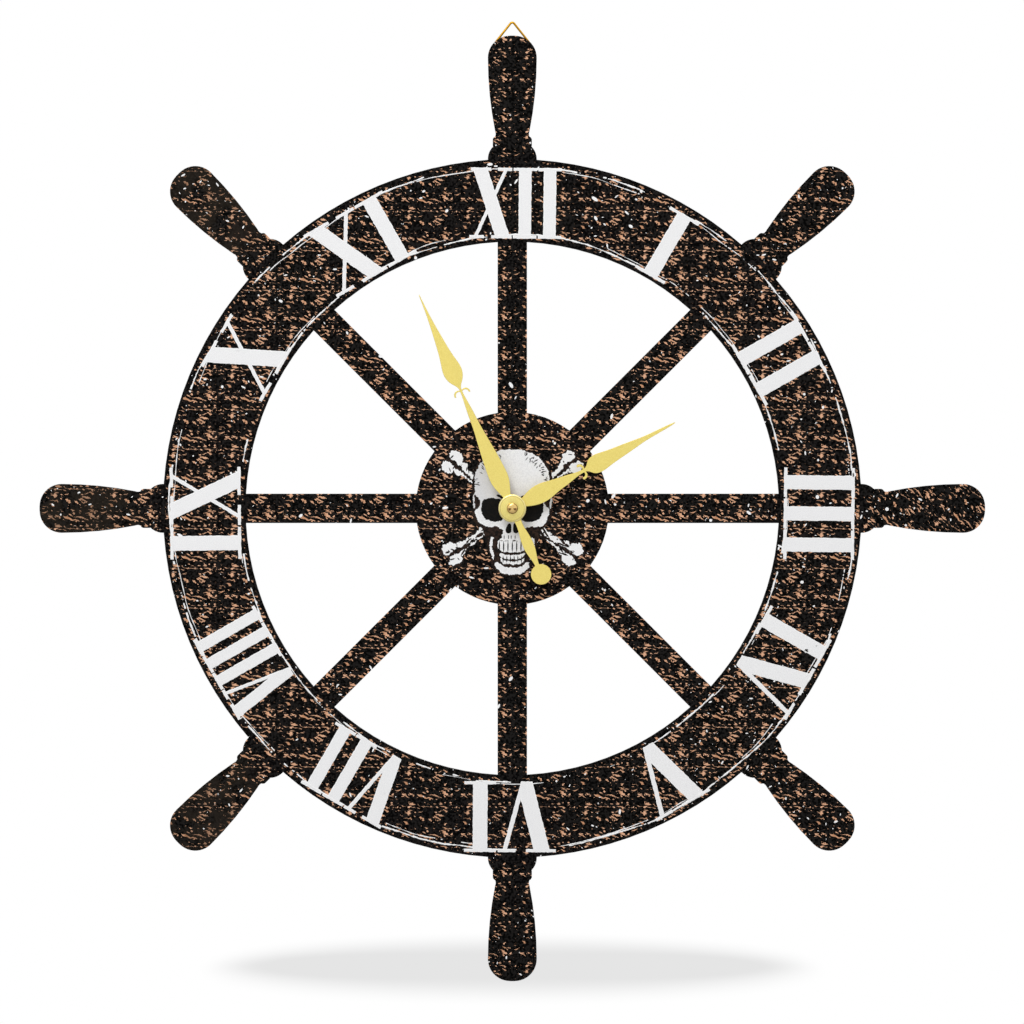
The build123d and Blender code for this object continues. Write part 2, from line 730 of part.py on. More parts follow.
def chip_blob():
    """The drop of black resin over the chip."""
    base = circuit_back
    dome = disc(chip_radius, base - chip_height, base, (circuit_x, circuit_z))
    return chamfer(dome.faces().sort_by(Axis.Y)[-1].edges(), chip_height / 2, chip_height)


def quartz_can():
    """The metal can of the tuning-fork crystal, lying on the circuit board."""
    depth = circuit_back + circuit_thickness + crystal_radius
    return along_x(Pos(depth, circuit_z) * Circle(crystal_radius), circuit_x - crystal_length / 2,
                   circuit_x + crystal_length / 2)


def contact_positive():
    """The spring strip at the button end of the cell, up the side wall to the circuit board."""
    wall_x = -case_inner_half
    bottom = bay_z - contact_width / 2
    top = circuit_z + circuit_height / 2
    upright = Pos(wall_x + contact_thickness / 2, (bottom + top) / 2) * Rectangle(
        contact_thickness, top - bottom)
    strip = slab(upright, contact_back, contact_back + contact_width)
    foot = Pos(wall_x + contact_width / 2, circuit_z) * Rectangle(contact_width, contact_width / 2)
    foot_front = circuit_back + circuit_thickness + contact_thickness
    dimple = along_x(Pos(cell_depth, bay_z) * Circle(contact_dimple_radius), wall_x + contact_thickness,
                     cell_left - contact_gap)
    return strip + slab(foot, circuit_back + circuit_thickness, foot_front) + dimple


def contact_negative():
    """The strip at the flat end of the cell, up the side wall and over the coil to the circuit board."""
    wall_x = case_inner_half
    bottom = bay_z - contact_width / 2
    roof = case_inner_half
    left = circuit_x
    upright = Pos(wall_x - contact_thickness / 2, (bottom + roof) / 2) * Rectangle(
        contact_thickness, roof - bottom)
    rail = Pos((wall_x + left) / 2, roof - contact_thickness / 2) * Rectangle(
        wall_x - left, contact_thickness)
    foot_height = contact_width / 2
    foot = Pos(left + contact_width / 2, roof - foot_height / 2) * Rectangle(contact_width, foot_height)
    foot_front = circuit_back + circuit_thickness + contact_thickness
    strip = slab(upright + rail, contact_back, contact_back + contact_width)
    return strip + slab(foot, circuit_back + circuit_thickness, foot_front)


def battery_cell():
    """A standard AA cell lying across the foot of the case, button end to the left."""
    body = along_x(Pos(cell_depth, bay_z) * Circle(cell_radius), cell_left + cell_button_length, cell_right)
    body = chamfer(body.edges().filter_by(GeomType.CIRCLE), cell_edge)
    button = along_x(Pos(cell_depth, bay_z) * Circle(cell_button_diameter / 2), cell_left,
                     cell_left + cell_button_length + cell_edge)
    return body + button


def leaf_face(shares, length, width):
    """A leaf of a hand, with smooth edges through its shares of length and half width."""
    upper = [(along * length, across * width / 2) for along, across in shares]
    lower = [(x, -y) for x, y in upper]
    return make_face(Wire([Spline(*upper), Line(upper[-1], lower[-1]), Spline(*lower),
                           Line(lower[0], upper[0])]))


def barb_face(reach, width, thickness, side):
    """One curled barb: an even arm that rises off the stem and hooks back towards the centre."""
    half = thickness / 2
    crest_y = width / 3
    root = (reach + half, 0)
    heel = (reach - half, 0)
    tip = (reach - barb_hook, side * width / 2)
    tip_inside = (reach - barb_hook, side * (width / 2 - thickness))
    outer = ThreePointArc(root, (reach + barb_crest + half, side * (crest_y + half / 2)), tip)
    inner = ThreePointArc(tip_inside, (reach + barb_crest - half, side * (crest_y - half / 2)), heel)
    return make_face(Wire([outer, Line(tip, tip_inside), inner, Line(heel, root)]))


def hand_outline(length, width, disc_radius, leaves_shares, barb_reach, barb_width, barb_thickness):
    """A hand along +X: disc, lower leaf, two curled barbs and the long upper leaf."""
    outline = Circle(disc_radius)
    for shares in leaves_shares:
        outline += leaf_face(shares, length, width)
    for side in (-1, 1):
        outline += barb_face(barb_reach, barb_width, barb_thickness, side)
    return outline


def hour_hand():
    """The hour hand plate, pressed on its collet."""
    outline = hand_outline(hour_hand_length, hour_hand_width, hour_disc_radius,
                           [hour_lower_leaf_shares, hour_upper_leaf_shares],
                           hour_barb_reach, hour_barb_width, hour_barb_thickness)
    outline -= Circle(hour_tube_radius + running_clearance)
    return slab(Rot(0, 0, 90 - hour_hand_angle) * outline, hour_hand_back, hour_hand_front)


def hour_collet():
    """The ring under the hour hand, which grips the hour tube."""
    return disc(hour_collet_radius, hour_collet_back, hour_hand_back,
                bore=hour_tube_radius + running_clearance)


def arbor_slot():
    """The flat-sided hole that keeps the minute hand from turning on its arbor."""
    round_hole = Circle(minute_arbor_radius + running_clearance)
    return round_hole & Rectangle(minute_arbor_flats + 2 * running_clearance, 4 * minute_arbor_radius)


def minute_hand():
    """The minute hand plate, with its tail and round counterweight."""
    outline = hand_outline(minute_hand_length, minute_hand_width, minute_disc_radius,
                           [minute_lower_leaf_shares, minute_upper_leaf_shares],
                           minute_barb_reach, minute_barb_width, minute_barb_thickness)
    outline += Rot(0, 0, 180) * leaf_face(tail_shares, counterweight_reach, minute_hand_width)
    outline += Pos(-counterweight_reach, 0) * Circle(counterweight_radius)
    outline = Rot(0, 0, 90 - minute_hand_angle) * outline
    return slab(outline - arbor_slot(), minute_hand_back, minute_hand_front)


def minute_collet():
    """The ring under the minute hand."""
    outline = Circle(minute_collet_radius) - arbor_slot()
    return slab(outline, minute_hand_back - minute_collet_length, minute_hand_back)


def boss_disc():
    """The bevelled round plate on the front of the minute hand."""
    plate = disc(minute_disc_radius, minute_hand_front, boss_front)
    plate = chamfer(plate.faces().sort_by(Axis.Y)[0].edges(), boss_chamfer)
    return plate - slab(arbor_slot(), minute_hand_front - overrun, boss_front + overrun)


def cap_nut():
    """The closed round nut with a domed face that holds the minute hand."""
    cap = disc(cap_radius, boss_front, cap_front)
    cap = fillet(cap.faces().sort_by(Axis.Y)[0].edges(), cap_dome_height)
    return cap - disc(minute_arbor_radius + running_clearance, boss_front - overrun,
                      minute_arbor_front + end_clearance)


def hanger_ring():
    """The wire triangle that hangs the clock, closed around its straight bar."""
    half_bar = ring_height * math.tan(math.radians(ring_side_angle))
    apex = bar_z + ring_height
    line = FilletPolyline((-half_bar, bar_z), (half_bar, bar_z), (0, apex), radius=ring_bend_radius,
                          close=True)
    path = Plane(origin=(0, -ring_depth, 0), x_dir=(1, 0, 0), z_dir=(0, -1, 0)) * line
    ring = Part()
    for edge in path.edges():
        section = Plane(origin=edge @ 0, z_dir=edge % 0) * Circle(ring_wire_radius)
        if edge.geom_type == GeomType.LINE:
            ring += extrude(section, amount=edge.length)
        else:
            turning_axis = Axis(edge.arc_center, (edge @ 0 - edge.arc_center).cross(edge % 0))
            ring += revolve(section, turning_axis, math.degrees(edge.length / ring_bend_radius))
    return ring


def hanger_strap():
    """The folded strap around the ring's bar, with both leaves flat on the board's back."""
    loop = Pos(ring_depth, bar_z) * Circle(strap_loop_radius)
    leaf_bottom = bar_z - strap_drop
    shoulder = bar_z - 2 * strap_loop_radius
    leaf_back = board_back - 2 * strap_thickness
    wrap_end = place_from((ring_depth, bar_z), strap_loop_radius, 180 + strap_wrap_angle)
    leaves = make_face(Polyline((board_back, bar_z), (board_back, leaf_bottom), (leaf_back, leaf_bottom),
                                (leaf_back, shoulder), wrap_end, (ring_depth, bar_z), close=True))
    profile = loop + leaves - Pos(ring_depth, bar_z) * Circle(strap_bore_radius)
    strap = along_x(profile, -strap_width / 2, strap_width / 2)
    hole = disc(screw_shank_radius, leaf_back - overrun, board_back + overrun, (0, screw_z))
    return strap - hole


def hanger_screw():
    """The pan-head screw through the strap into the board."""
    seat = board_back - 2 * strap_thickness
    head = disc(screw_head_radius, seat - screw_head_height, seat, (0, screw_z))
    head = chamfer(head.faces().sort_by(Axis.Y)[-1].edges(), screw_head_height / 2)
    shank = disc(screw_shank_radius, seat, board_back + screw_shank_bite, (0, screw_z))
    return head + shank


pieces = [wheel_board, rubber_gasket, rear_case, front_cover, middle_plate, threaded_bushing,
          brass_washer, hex_nut, minute_arbor, hour_wheel, intermediate_wheel, setting_knob,
          centre_wheel, third_wheel, seconds_wheel, fifth_wheel, rotor, rotor_magnet, stator,
          coil_core, coil_bobbin, coil_winding, circuit_board, chip_blob, quartz_can,
          contact_positive, contact_negative, battery_cell, hour_hand, hour_collet, minute_hand,
          minute_collet, boss_disc, cap_nut, hanger_ring, hanger_strap, hanger_screw]

os.makedirs("parts", exist_ok=True)
for piece in pieces:
    solid = piece()
    export_step(solid, f"parts/{piece.__name__}.step")
    print(piece.__name__, round(solid.volume, 2))
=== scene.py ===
# %% [markdown]
# # A wall clock cut as a ship's wheel
# The clock is one flat board with a printed face, two gold hands, a quartz movement on its back and a
# wire ring to hang it by. The construction is already made: every piece has its real size and place.
# This lesson dresses it. Each step first says what the piece or finish is on the real clock, then how
# it could be made and why it is made this way.

import bpy
import bmesh
import json
import math
import random
from contextlib import contextmanager
from functools import partialmethod
from mathutils import Matrix, Vector


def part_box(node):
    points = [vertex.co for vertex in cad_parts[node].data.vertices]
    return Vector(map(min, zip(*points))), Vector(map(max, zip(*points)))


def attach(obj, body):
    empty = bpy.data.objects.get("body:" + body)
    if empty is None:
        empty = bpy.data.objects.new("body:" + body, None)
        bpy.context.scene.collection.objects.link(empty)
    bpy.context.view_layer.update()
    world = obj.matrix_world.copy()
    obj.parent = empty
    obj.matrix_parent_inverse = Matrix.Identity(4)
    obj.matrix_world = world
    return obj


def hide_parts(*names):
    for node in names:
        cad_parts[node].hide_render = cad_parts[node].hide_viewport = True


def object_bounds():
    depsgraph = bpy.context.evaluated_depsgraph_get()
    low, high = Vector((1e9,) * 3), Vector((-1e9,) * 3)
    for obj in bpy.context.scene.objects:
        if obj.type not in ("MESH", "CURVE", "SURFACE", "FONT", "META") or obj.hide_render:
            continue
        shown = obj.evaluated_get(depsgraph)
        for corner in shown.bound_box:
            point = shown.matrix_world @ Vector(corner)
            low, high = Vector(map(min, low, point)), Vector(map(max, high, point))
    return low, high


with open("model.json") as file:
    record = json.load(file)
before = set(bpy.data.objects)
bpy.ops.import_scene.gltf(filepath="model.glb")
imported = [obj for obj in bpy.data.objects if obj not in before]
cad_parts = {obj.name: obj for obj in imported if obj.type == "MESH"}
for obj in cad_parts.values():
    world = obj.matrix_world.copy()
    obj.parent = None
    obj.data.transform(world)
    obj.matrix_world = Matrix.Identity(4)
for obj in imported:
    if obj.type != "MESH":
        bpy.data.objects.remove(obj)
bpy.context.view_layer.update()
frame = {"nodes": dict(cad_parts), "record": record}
mm = 0.001
board_low, board_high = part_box("wheel_board")
board_front = -board_low.y
board_back = -board_high.y
print("nodes:", len(frame["nodes"]), "board front at", round(board_front / mm, 2), "mm")

# %% [markdown]
# ## A short way to write node trees
# Materials and Geometry Nodes are both graphs, and a graph is clumsy to write link by link. The class
# `Field` wraps one socket and overloads the arithmetic signs, so a pattern can be written as a formula
# such as `1 - mask`. `Graph.node` makes every other node: it takes the node's type, the values or links
# of its sockets, the output that is wanted, and the node's settings, which are set first because they
# decide which sockets there are. A string stands for a colour, written as on paper.

# %% Fields and graphs
def pick(sockets, key):
    """A socket by its number, or the first one in use that has this name."""
    if isinstance(key, int):
        return sockets[key]
    return next(socket for socket in sockets if socket.enabled and socket.name == key)


def colour(code):
    """A colour written as on paper, such as A8704E, in the linear values that a socket takes."""
    channels = [int(code[place:place + 2], 16) / 255 for place in (0, 2, 4)]
    linear = [c / 12.92 if c <= 0.04045 else ((c + 0.055) / 1.055) ** 2.4 for c in channels]
    return (*linear, 1.0)


class Field:
    """One socket of a node, which can stand in a formula."""

    def __init__(self, graph, socket):
        self.graph = graph
        self.socket = socket

    def maths(self, operation, *others):
        return self.graph.maths(operation, self, *others)

    def __rsub__(self, other):
        return self.graph.maths("SUBTRACT", other, self)

    __abs__ = partialmethod(maths, "ABSOLUTE")
    __add__ = __radd__ = partialmethod(maths, "ADD")
    __sub__ = partialmethod(maths, "SUBTRACT")
    __mul__ = __rmul__ = partialmethod(maths, "MULTIPLY")
    __truediv__ = partialmethod(maths, "DIVIDE")
    __gt__ = partialmethod(maths, "GREATER_THAN")
    __lt__ = partialmethod(maths, "LESS_THAN")


def hypotenuse(x, z):
    """The long side of a right triangle, such as a place's distance from the hand axis."""
    return (x * x + z * z).maths("SQRT")


class Graph:
    """A node tree that one method fills."""

    def __init__(self, tree):
        self.tree = tree

    def node(self, kind, inputs=None, output=0, **settings):
        """One output of a new node, or the node itself where it has none."""
        made = self.tree.nodes.new(kind)
        for key, value in settings.items():
            setattr(made, key, value)
        for key, value in (inputs or {}).items():
            self.fill(made, key, value)
        return Field(self, pick(made.outputs, output)) if made.outputs else made

    def fill(self, made, key, value):
        socket = pick(made.inputs, key)
        if isinstance(value, Field):
            self.tree.links.new(value.socket, socket)
        else:
            socket.default_value = colour(value) if isinstance(value, str) else value

    def outputs(self, kind, inputs=None):
        """All outputs of a new node, by name."""
        made = self.node(kind, inputs).socket.node
        return {socket.name: Field(self, socket) for socket in made.outputs}

    def maths(self, operation, *values):
        return self.node("ShaderNodeMath", dict(enumerate(values)), operation=operation)

    def smooth_step(self, value, low, high):
        return self.node("ShaderNodeMapRange", {"Value": value, "From Min": low, "From Max": high},
                         interpolation_type="SMOOTHSTEP")

    def split(self, vector):
        return self.outputs("ShaderNodeSeparateXYZ", {"Vector": vector}).values()

    def combine(self, **parts):
        return self.node("ShaderNodeCombineXYZ", parts)


# %% [markdown]
# ## Finishes
# A `Finish` is a material with one Principled shader. Patterns read Object coordinates: every piece of
# the clock sits at the origin with its place in its mesh, so the pattern keeps to the piece when it
# moves. Sizes are in metres, and `noise` takes the size of a blotch instead of a scale. Values that are
# the same all over go straight on the shader's sockets.

# %% The finish class
class Finish(Graph):
    """A material under construction."""

    def __init__(self, name, **constants):
        self.material = bpy.data.materials.new(name)
        self.material.use_nodes = True
        super().__init__(self.material.node_tree)
        self.shader = self.tree.nodes["Principled BSDF"]
        self.place = self.node("ShaderNodeTexCoord", output="Object")
        for key, value in constants.items():
            self.set(key.replace("_", " ").title().replace("Ior", "IOR"), value)

    def set(self, name, value):
        self.fill(self.shader, name, value)

    def noise(self, size, stretch=(1, 1, 1), detail=2.0, roughness=0.5, at=None, shift=0.0):
        scale = [1 / (size * share) for share in stretch]
        point = self.node("ShaderNodeMapping", {"Vector": at or self.place, "Scale": scale,
                                                "Location": (shift, shift, shift)})
        return self.node("ShaderNodeTexNoise", {"Vector": point, "Scale": 1.0, "Detail": detail,
                                                "Roughness": roughness})

    def mix(self, factor, first, second):
        return self.node("ShaderNodeMix", {"Factor": factor, "A": first, "B": second}, "Result",
                         data_type="RGBA")

    def paint(self, factor, first, second):
        self.set("Base Color", self.mix(factor, first, second))

    def bump(self, height, distance, strength):
        self.set("Normal", self.node("ShaderNodeBump", {"Height": height, "Distance": distance,
                                                        "Strength": strength}))


# %% [markdown]
# ## Camera and studio
# The photograph looks straight at the dial through a long lens, so the camera stands four metres away.
# The picture's width at the board is a measured size, and the lens follows from it. The dial's centre
# lies a little above the middle of the picture. White paper surrounds the clock: the world and the
# floor are white only to the rays that come from the camera or from a gloss, and light the clock at a
# plain level, so that a colour renders as it is written.

# %% The camera
def in_scene(name, data):
    """A new object of this data, linked to the scene."""
    made = bpy.data.objects.new(name, data)
    bpy.context.scene.collection.objects.link(made)
    return made


picture_width = 649.7 * mm
camera_distance = 4.0
aim = Vector((-0.2 * mm, 0.0, -2.3 * mm))
camera_data = bpy.data.cameras.new("camera")
camera_data.lens = camera_data.sensor_width * camera_distance / picture_width
camera = in_scene("camera", camera_data)
camera.location = aim + Vector((0, -camera_distance - board_front, 0))
camera.rotation_euler = (math.pi / 2, 0, 0)
bpy.context.scene.camera = camera
bpy.context.scene.view_settings.view_transform = "Standard"
print("lens", round(camera_data.lens, 1), "mm")

# %% The white world
world_level = 0.66
world = bpy.data.worlds.new("paper")
world.use_nodes = True
bpy.context.scene.world = world
background = world.node_tree.nodes["Background"]
sky = Graph(world.node_tree)
rays = sky.outputs("ShaderNodeLightPath")
seen = (rays["Is Camera Ray"] + rays["Is Glossy Ray"] + rays["Is Transmission Ray"]).maths("MINIMUM", 1.0)
sky.fill(background, "Color", "FFFFFF")
sky.fill(background, "Strength", world_level + (1 - world_level) * seen)


# %% The floor and the lamps
def lamp(name, place, size, power):
    """A square soft lamp that faces the clock."""
    light = bpy.data.lights.new(name, "AREA")
    light.size = size
    light.energy = power
    made = in_scene(name, light)
    made.location = place
    made.rotation_euler = (-Vector(place)).to_track_quat("-Z", "Y").to_euler()


lamp("key_lamp", (-0.9, -2.0, 2.2), 1.1, 42)
lamp("top_lamp", (0.1, -0.25, 2.2), 0.7, 10)
lamp("back_lamp", (0.8, 2.4, 1.4), 1.6, 18)

square = ((-1, -1), (1, -1), (1, 1), (-1, 1))
floor_reach = 6.0
floor_gap = 2.5 * mm
shade_centre = 0.146
shade_reach = Vector((0.185, 0.222))
shade_depth = 0.217
side_softness = 0.13
end_softness = 0.45
floor_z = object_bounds()[0].z - floor_gap
floor_mesh = bpy.data.meshes.new("floor")
corners = [(x * floor_reach, y * floor_reach, floor_z) for x, y in square]
floor_mesh.from_pydata(corners, [], [(0, 1, 2, 3)])
floor = in_scene("floor", floor_mesh)
paper = Finish("floor_paper", roughness=1.0, specular_ior_level=0.0)
paper_seen = paper.outputs("ShaderNodeLightPath")["Is Camera Ray"]
x, y, _ = paper.split(paper.place)
x, y = x / shade_reach.x, (y - shade_centre) / shade_reach.y
off_centre = hypotenuse(x, y)
softness = side_softness + end_softness * (y * y / (off_centre * off_centre + 0.001))
# Painted shadow: under the clock the floor's glow dips in a soft ellipse, so a shadow shows there whatever
# the light.
glow_with_painted_shadow = 1 - shade_depth * (1 - paper.smooth_step((off_centre - 1) / softness, -1.0, 1.0))
glow_with_painted_shadow = paper.node("ShaderNodeCombineColor", {"Red": glow_with_painted_shadow, "Green": glow_with_painted_shadow, "Blue": glow_with_painted_shadow})
paper.paint(paper_seen, (0.5, 0.5, 0.5, 1), "000000")
paper.set("Emission Color", paper.mix(paper_seen, "000000", glow_with_painted_shadow))
paper.set("Emission Strength", 1.0)
floor_mesh.materials.append(paper.material)

# %% [markdown]
# ## The printed board
# The face is a digital print on fibreboard: nearly black, with copper-brown streaks like bark. The
# print is one small tile, repeated side by side, and a dark seam shows between the tiles. So the
# pattern is drawn on wrapped coordinates: the place on the board with whole tiles dropped. Bark is
# made of rows that wander up and down. A row's line swells and vanishes along the row, which leaves
# thin wavy dashes. Long rows, short rows and a few patches together give the streaks, and a slow noise
# crowds them in some places. Near the upright middle line and on most handles there are fewer streaks,
# and on the right handle the tile is turned. The cut edge is dyed black, and the back is bare board.

# %% Rows of dashes
tile_width = 37.4 * mm
tile_height = 25.2 * mm
rim_outer = 221.7 * mm
rim_inner = 169.4 * mm
plain_line = 1.6 * mm
hub_edge = 61.3 * mm
handle_turn = math.radians(32)
fewer_on_handles = 0.02
fewer_in_middle = 0.042
middle_inner, middle_outer = 10 * mm, 100 * mm
row_shift = 7.3
# Of each kind: the pitch and slope of its rows, its length, how rare it is, how it crowds, its fatness
# and its seed.
long_kind = (2.75 * mm, 0.26, 4.8 * mm, 0.467, 0.32, 2.1, 1.0)
short_kind = (2.3 * mm, 0.2, 2.0 * mm, 0.581, 0.3, 2.8, 5.0)


def dashes(finish, kind, across, up, wander, crowding, sparse):
    """One kind of dashes on wandering rows, as a mask, and the noise that swells them."""
    pitch, slope, length, rareness, crowds, fatness, seed = kind
    rows = (up + across * slope) / pitch + wander
    row = rows.maths("FLOOR")
    off_row = abs(rows - row - 0.5) * 2
    along = finish.combine(X=across / length, Y=row * row_shift, Z=seed)
    swell = finish.node("ShaderNodeTexNoise", {"Vector": along, "Scale": 1.0, "Detail": 1.0})
    share = rareness - crowding * crowds + sparse
    return finish.smooth_step((swell - share) * fatness - off_row, 0.0, 0.1), swell


# %% The print
def printed_face(finish):
    """The black and copper print, as a colour."""
    x, _, z = finish.split(finish.place)
    radius = hypotenuse(x, z)
    few = (radius > rim_outer) * (x > -rim_outer)
    off_middle = finish.smooth_step(abs(x), middle_inner, middle_outer)
    sparse = few * fewer_on_handles + (1 - off_middle) * (radius > hub_edge) * fewer_in_middle
    on_right_handle = x > rim_outer
    sine, versine = math.sin(handle_turn), 1 - math.cos(handle_turn)
    across = (x - on_right_handle * (x * versine + z * sine)).maths("FLOORED_MODULO", tile_width)
    up = (z + on_right_handle * (x * sine - z * versine)).maths("FLOORED_MODULO", tile_height)
    tile = finish.combine(X=across, Z=up)
    waves = finish.noise(5.2 * mm, (1.6, 1, 1), at=tile, detail=1.3) - 0.5
    ripple = finish.noise(1.4 * mm, at=tile, detail=1.0, shift=2.0) - 0.5
    crowding = finish.noise(9 * mm, (1.2, 1, 0.9), at=tile, detail=0.0, shift=3.1) - 0.5
    wander = waves * 2.6 + ripple * 0.6
    long_dashes, swell = dashes(finish, long_kind, across, up, wander, crowding, sparse)
    short_dashes, _ = dashes(finish, short_kind, across, up, waves * 2.4, crowding, sparse)
    patches = finish.noise(1.9 * mm, (1.8, 1, 1), at=tile, detail=1.0, shift=8.0) + crowding * 0.45
    patches = finish.smooth_step(patches, 0.69, 0.705)
    streaks = long_dashes.maths("MAXIMUM", short_dashes).maths("MAXIMUM", patches)
    seam = across.maths("PINGPONG", tile_width / 2) + ripple * 3.5 * mm + waves * 2.0 * mm
    streaks = streaks * finish.smooth_step(seam, 0.6 * mm, 1.0 * mm)
    for edge in (rim_outer, rim_inner):
        streaks = streaks * finish.smooth_step(abs(radius - edge), plain_line * 0.8, plain_line * 1.1)
    haze = finish.smooth_step(finish.noise(12 * mm, shift=5.0), 0.36, 0.56)
    haze = haze * (x < -rim_inner * 0.5)
    haze = haze * finish.smooth_step(radius, rim_outer + 5 * mm, rim_outer + 25 * mm)
    tint = finish.mix(finish.smooth_step(swell, 0.5, 0.75), "E9B694", "C7926E")
    grain = finish.smooth_step(finish.noise(1.3 * mm, detail=0.0), 0.3, 0.7)
    ink = finish.mix(haze * 0.6, finish.mix(grain, "020202", "1F1D1C"), "2B251F")
    return finish.mix(streaks * (1 - haze * 0.5), ink, tint)


# %% Face, edge and back in one material
skin = 0.05 * mm


def board_finish():
    """Front, cut edge and back told apart by their depth."""
    finish = Finish("printed_board", specular_ior_level=0.02)
    face = printed_face(finish)
    _, y, _ = finish.split(finish.place)
    front = y < skin - board_front
    back = y > -board_back - skin
    fibres = finish.noise(0.5 * mm, (1, 1, 3), detail=3.0)
    bare = finish.mix(finish.noise(9 * mm, detail=5.0, roughness=0.7), "8E6E4E", "A98862")
    bare = finish.mix(finish.smooth_step(fibres, 0.58, 0.85), bare, "755A3F")
    edge = finish.mix(finish.noise(0.35 * mm, (30, 1, 30)), "0C0B0A", "1D1A17")
    finish.paint(back, finish.mix(front, edge, face), bare)
    finish.set("Roughness", 0.52 + 0.10 * finish.noise(3 * mm) + 0.22 * back)
    finish.bump(finish.noise(0.35 * mm, detail=1.0) + fibres * back * 2, 0.04 * mm, 0.5)
    return finish.material


def dress(material, *nodes):
    """Gives a material to pieces whose built shape is already right."""
    for node in nodes:
        mesh = frame["nodes"][node].data
        mesh.materials.clear()
        mesh.materials.append(material)


dress(board_finish(), "wheel_board")

# %% [markdown]
# ## Prints that lie on the board
# Numerals, scratches and the figure on the hub are white ink over the black. Each is made as a real
# layer, a few hundredths of a millimetre thick, so that its outline stays sharp at any size. A flat
# curve does this well: Blender fills its closed loops, leaves inner loops open as holes and gives the
# sheet a thickness. It is drawn flat, turned up into the dial's plane and laid on the board.

# %% Filled loops
ink_height = 0.05 * mm
ink_sink = 0.03 * mm
overlap_height = 0.01 * mm
weld_distance = 0.001 * mm


@contextmanager
def edited(mesh):
    """A mesh opened for edits, and written back after them."""
    shape = bmesh.new()
    shape.from_mesh(mesh)
    yield shape
    shape.to_mesh(mesh)
    shape.free()


def filled(loop, near, far):
    """A closed loop of (x, z) in metres, filled, as a closed sheet between two distances from the wall."""
    curve = bpy.data.curves.new("loop", "CURVE")
    curve.dimensions = "2D"
    curve.fill_mode = "BOTH"
    curve.extrude = (far - near) / 2
    spline = curve.splines.new("POLY")
    spline.points.add(len(loop) - 1)
    for point, (x, z) in zip(spline.points, loop):
        point.co = (x, z, 0, 1)
    spline.use_cyclic_u = True
    drawn = bpy.data.objects.new("loop", curve)
    mesh = bpy.data.meshes.new_from_object(drawn)
    mesh.transform(Matrix.Translation((0, -(near + far) / 2, 0)) @ Matrix.Rotation(math.pi / 2, 4, "X"))
    bpy.data.objects.remove(drawn)
    with edited(mesh) as shape:
        bmesh.ops.remove_doubles(shape, verts=shape.verts, dist=weld_distance)
        bmesh.ops.recalc_face_normals(shape, faces=shape.faces)
    return mesh


def new_piece(name, mesh, body):
    """A finished piece: its mesh holds its place, and it rides on a body."""
    piece = in_scene(name, mesh)
    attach(piece, body)
    return piece


def joined(name, layers):
    """A fixed piece of several layers; each is its sheets and its material, the lowest first."""
    mesh = bpy.data.meshes.new(name)
    with edited(mesh) as merged:
        for index, (sheets, material) in enumerate(layers):
            mesh.materials.append(material)
            for sheet in sheets:
                for face in sheet.polygons:
                    face.material_index = index
                merged.from_mesh(sheet)
    new_piece(name, mesh, "frame")


def print_piece(name, layers, first=1):
    """A print on the board in several inks; each layer is its loops and its material."""
    inked = []
    for height, (loops, material) in enumerate(layers, first):
        near, far = board_front - ink_sink, board_front + ink_height * height
        sheets = [filled(loop, near, far + overlap_height * (place % 3)) for place, loop in enumerate(loops)]
        inked.append((sheets, material))
    joined(name, inked)


# %% [markdown]
# ## White ink
# The white of the numerals is a pale grey with fine mottling, inside a thin line of brighter white. The
# bright line is the lower layer, and the mottled one lies on it, drawn in a little all round.

# %% The inks
def matt_ink(name):
    """An ink with a faint grain, still without its colour."""
    finish = Finish(name, roughness=0.62, specular_ior_level=0.1)
    finish.bump(finish.noise(0.3 * mm, detail=1.0), 0.02 * mm, 0.4)
    return finish


def ink_finish(name, light, dark, grain, low=0.35, high=0.7):
    """A flat ink whose two tones are mottled at the size of the grain."""
    finish = matt_ink(name)
    mottle = finish.noise(grain, detail=3.0, roughness=0.65)
    finish.paint(finish.smooth_step(mottle, low, high), light, dark)
    return finish.material


bright_ink = ink_finish("bright_ink", "FFFFFF", "F6F6F6", 0.9 * mm)
mottled_ink = ink_finish("mottled_ink", "FAFAFA", "EBEBED", 0.55 * mm)

# %% [markdown]
# ## Roman numerals
# A traditional dial: every numeral stands with its feet to the centre, and all are as tall. Three
# letters make them all. I is a thick stem, V and X are a thick and a thin stroke, and all ends have slab
# serifs. A long numeral such as VIII is set narrower, until it fits the same width as the others, and
# its stems keep more of their width than its gaps. A letter is one closed loop, and where two strokes
# cross, the corner is worked out from the two lines. The print is not quite true: it sits a millimetre
# low, each numeral has slipped round the dial by its own part of a degree, and all edges are frayed.

# %% Sizes of the letters
letter_height = 44.9 * mm
feet_radius = 172.2 * mm
serif_height = 2.0 * mm
serif_top = letter_height - serif_height
widest_numeral = 58.3 * mm
letter_gap = 1.2 * mm
letter_widths = {"I": 21.4 * mm, "V": 39.2 * mm, "X": 38.8 * mm}
bright_line = 0.42 * mm
sharpest_turn = 0.2
fray_step = 1.3 * mm
bright_tear = 0.17 * mm
mottled_tear = 0.09 * mm
print_drop = 1.0 * mm
# The foot, top and width of each stroke, in millimetres, the heavy one first.
strokes = {"I": [(10.7, 10.7, 9.6)], "V": [(21.6, 9.1, 10.6), (22.2, 34.8, 2.9)],
           "X": [(31.0, 9.0, 11.2), (5.0, 33.9, 2.8)]}


# %% Strokes and crossings
class Stroke:
    """A straight stroke from the foot of a letter to its top, with its left and right edges."""

    def __init__(self, foot, top, width):
        self.edges = [(foot + side * width / 2, top + side * width / 2) for side in (-1, 1)]

    def at(self, side, height):
        foot, top = self.edges[side]
        return (foot + (top - foot) * height / letter_height, height)

    def meets(self, side, other, other_side):
        foot, top = self.edges[side]
        other_foot, other_top = other.edges[other_side]
        share = (other_foot - foot) / ((top - foot) - (other_top - other_foot))
        return (foot + (top - foot) * share, share * letter_height)


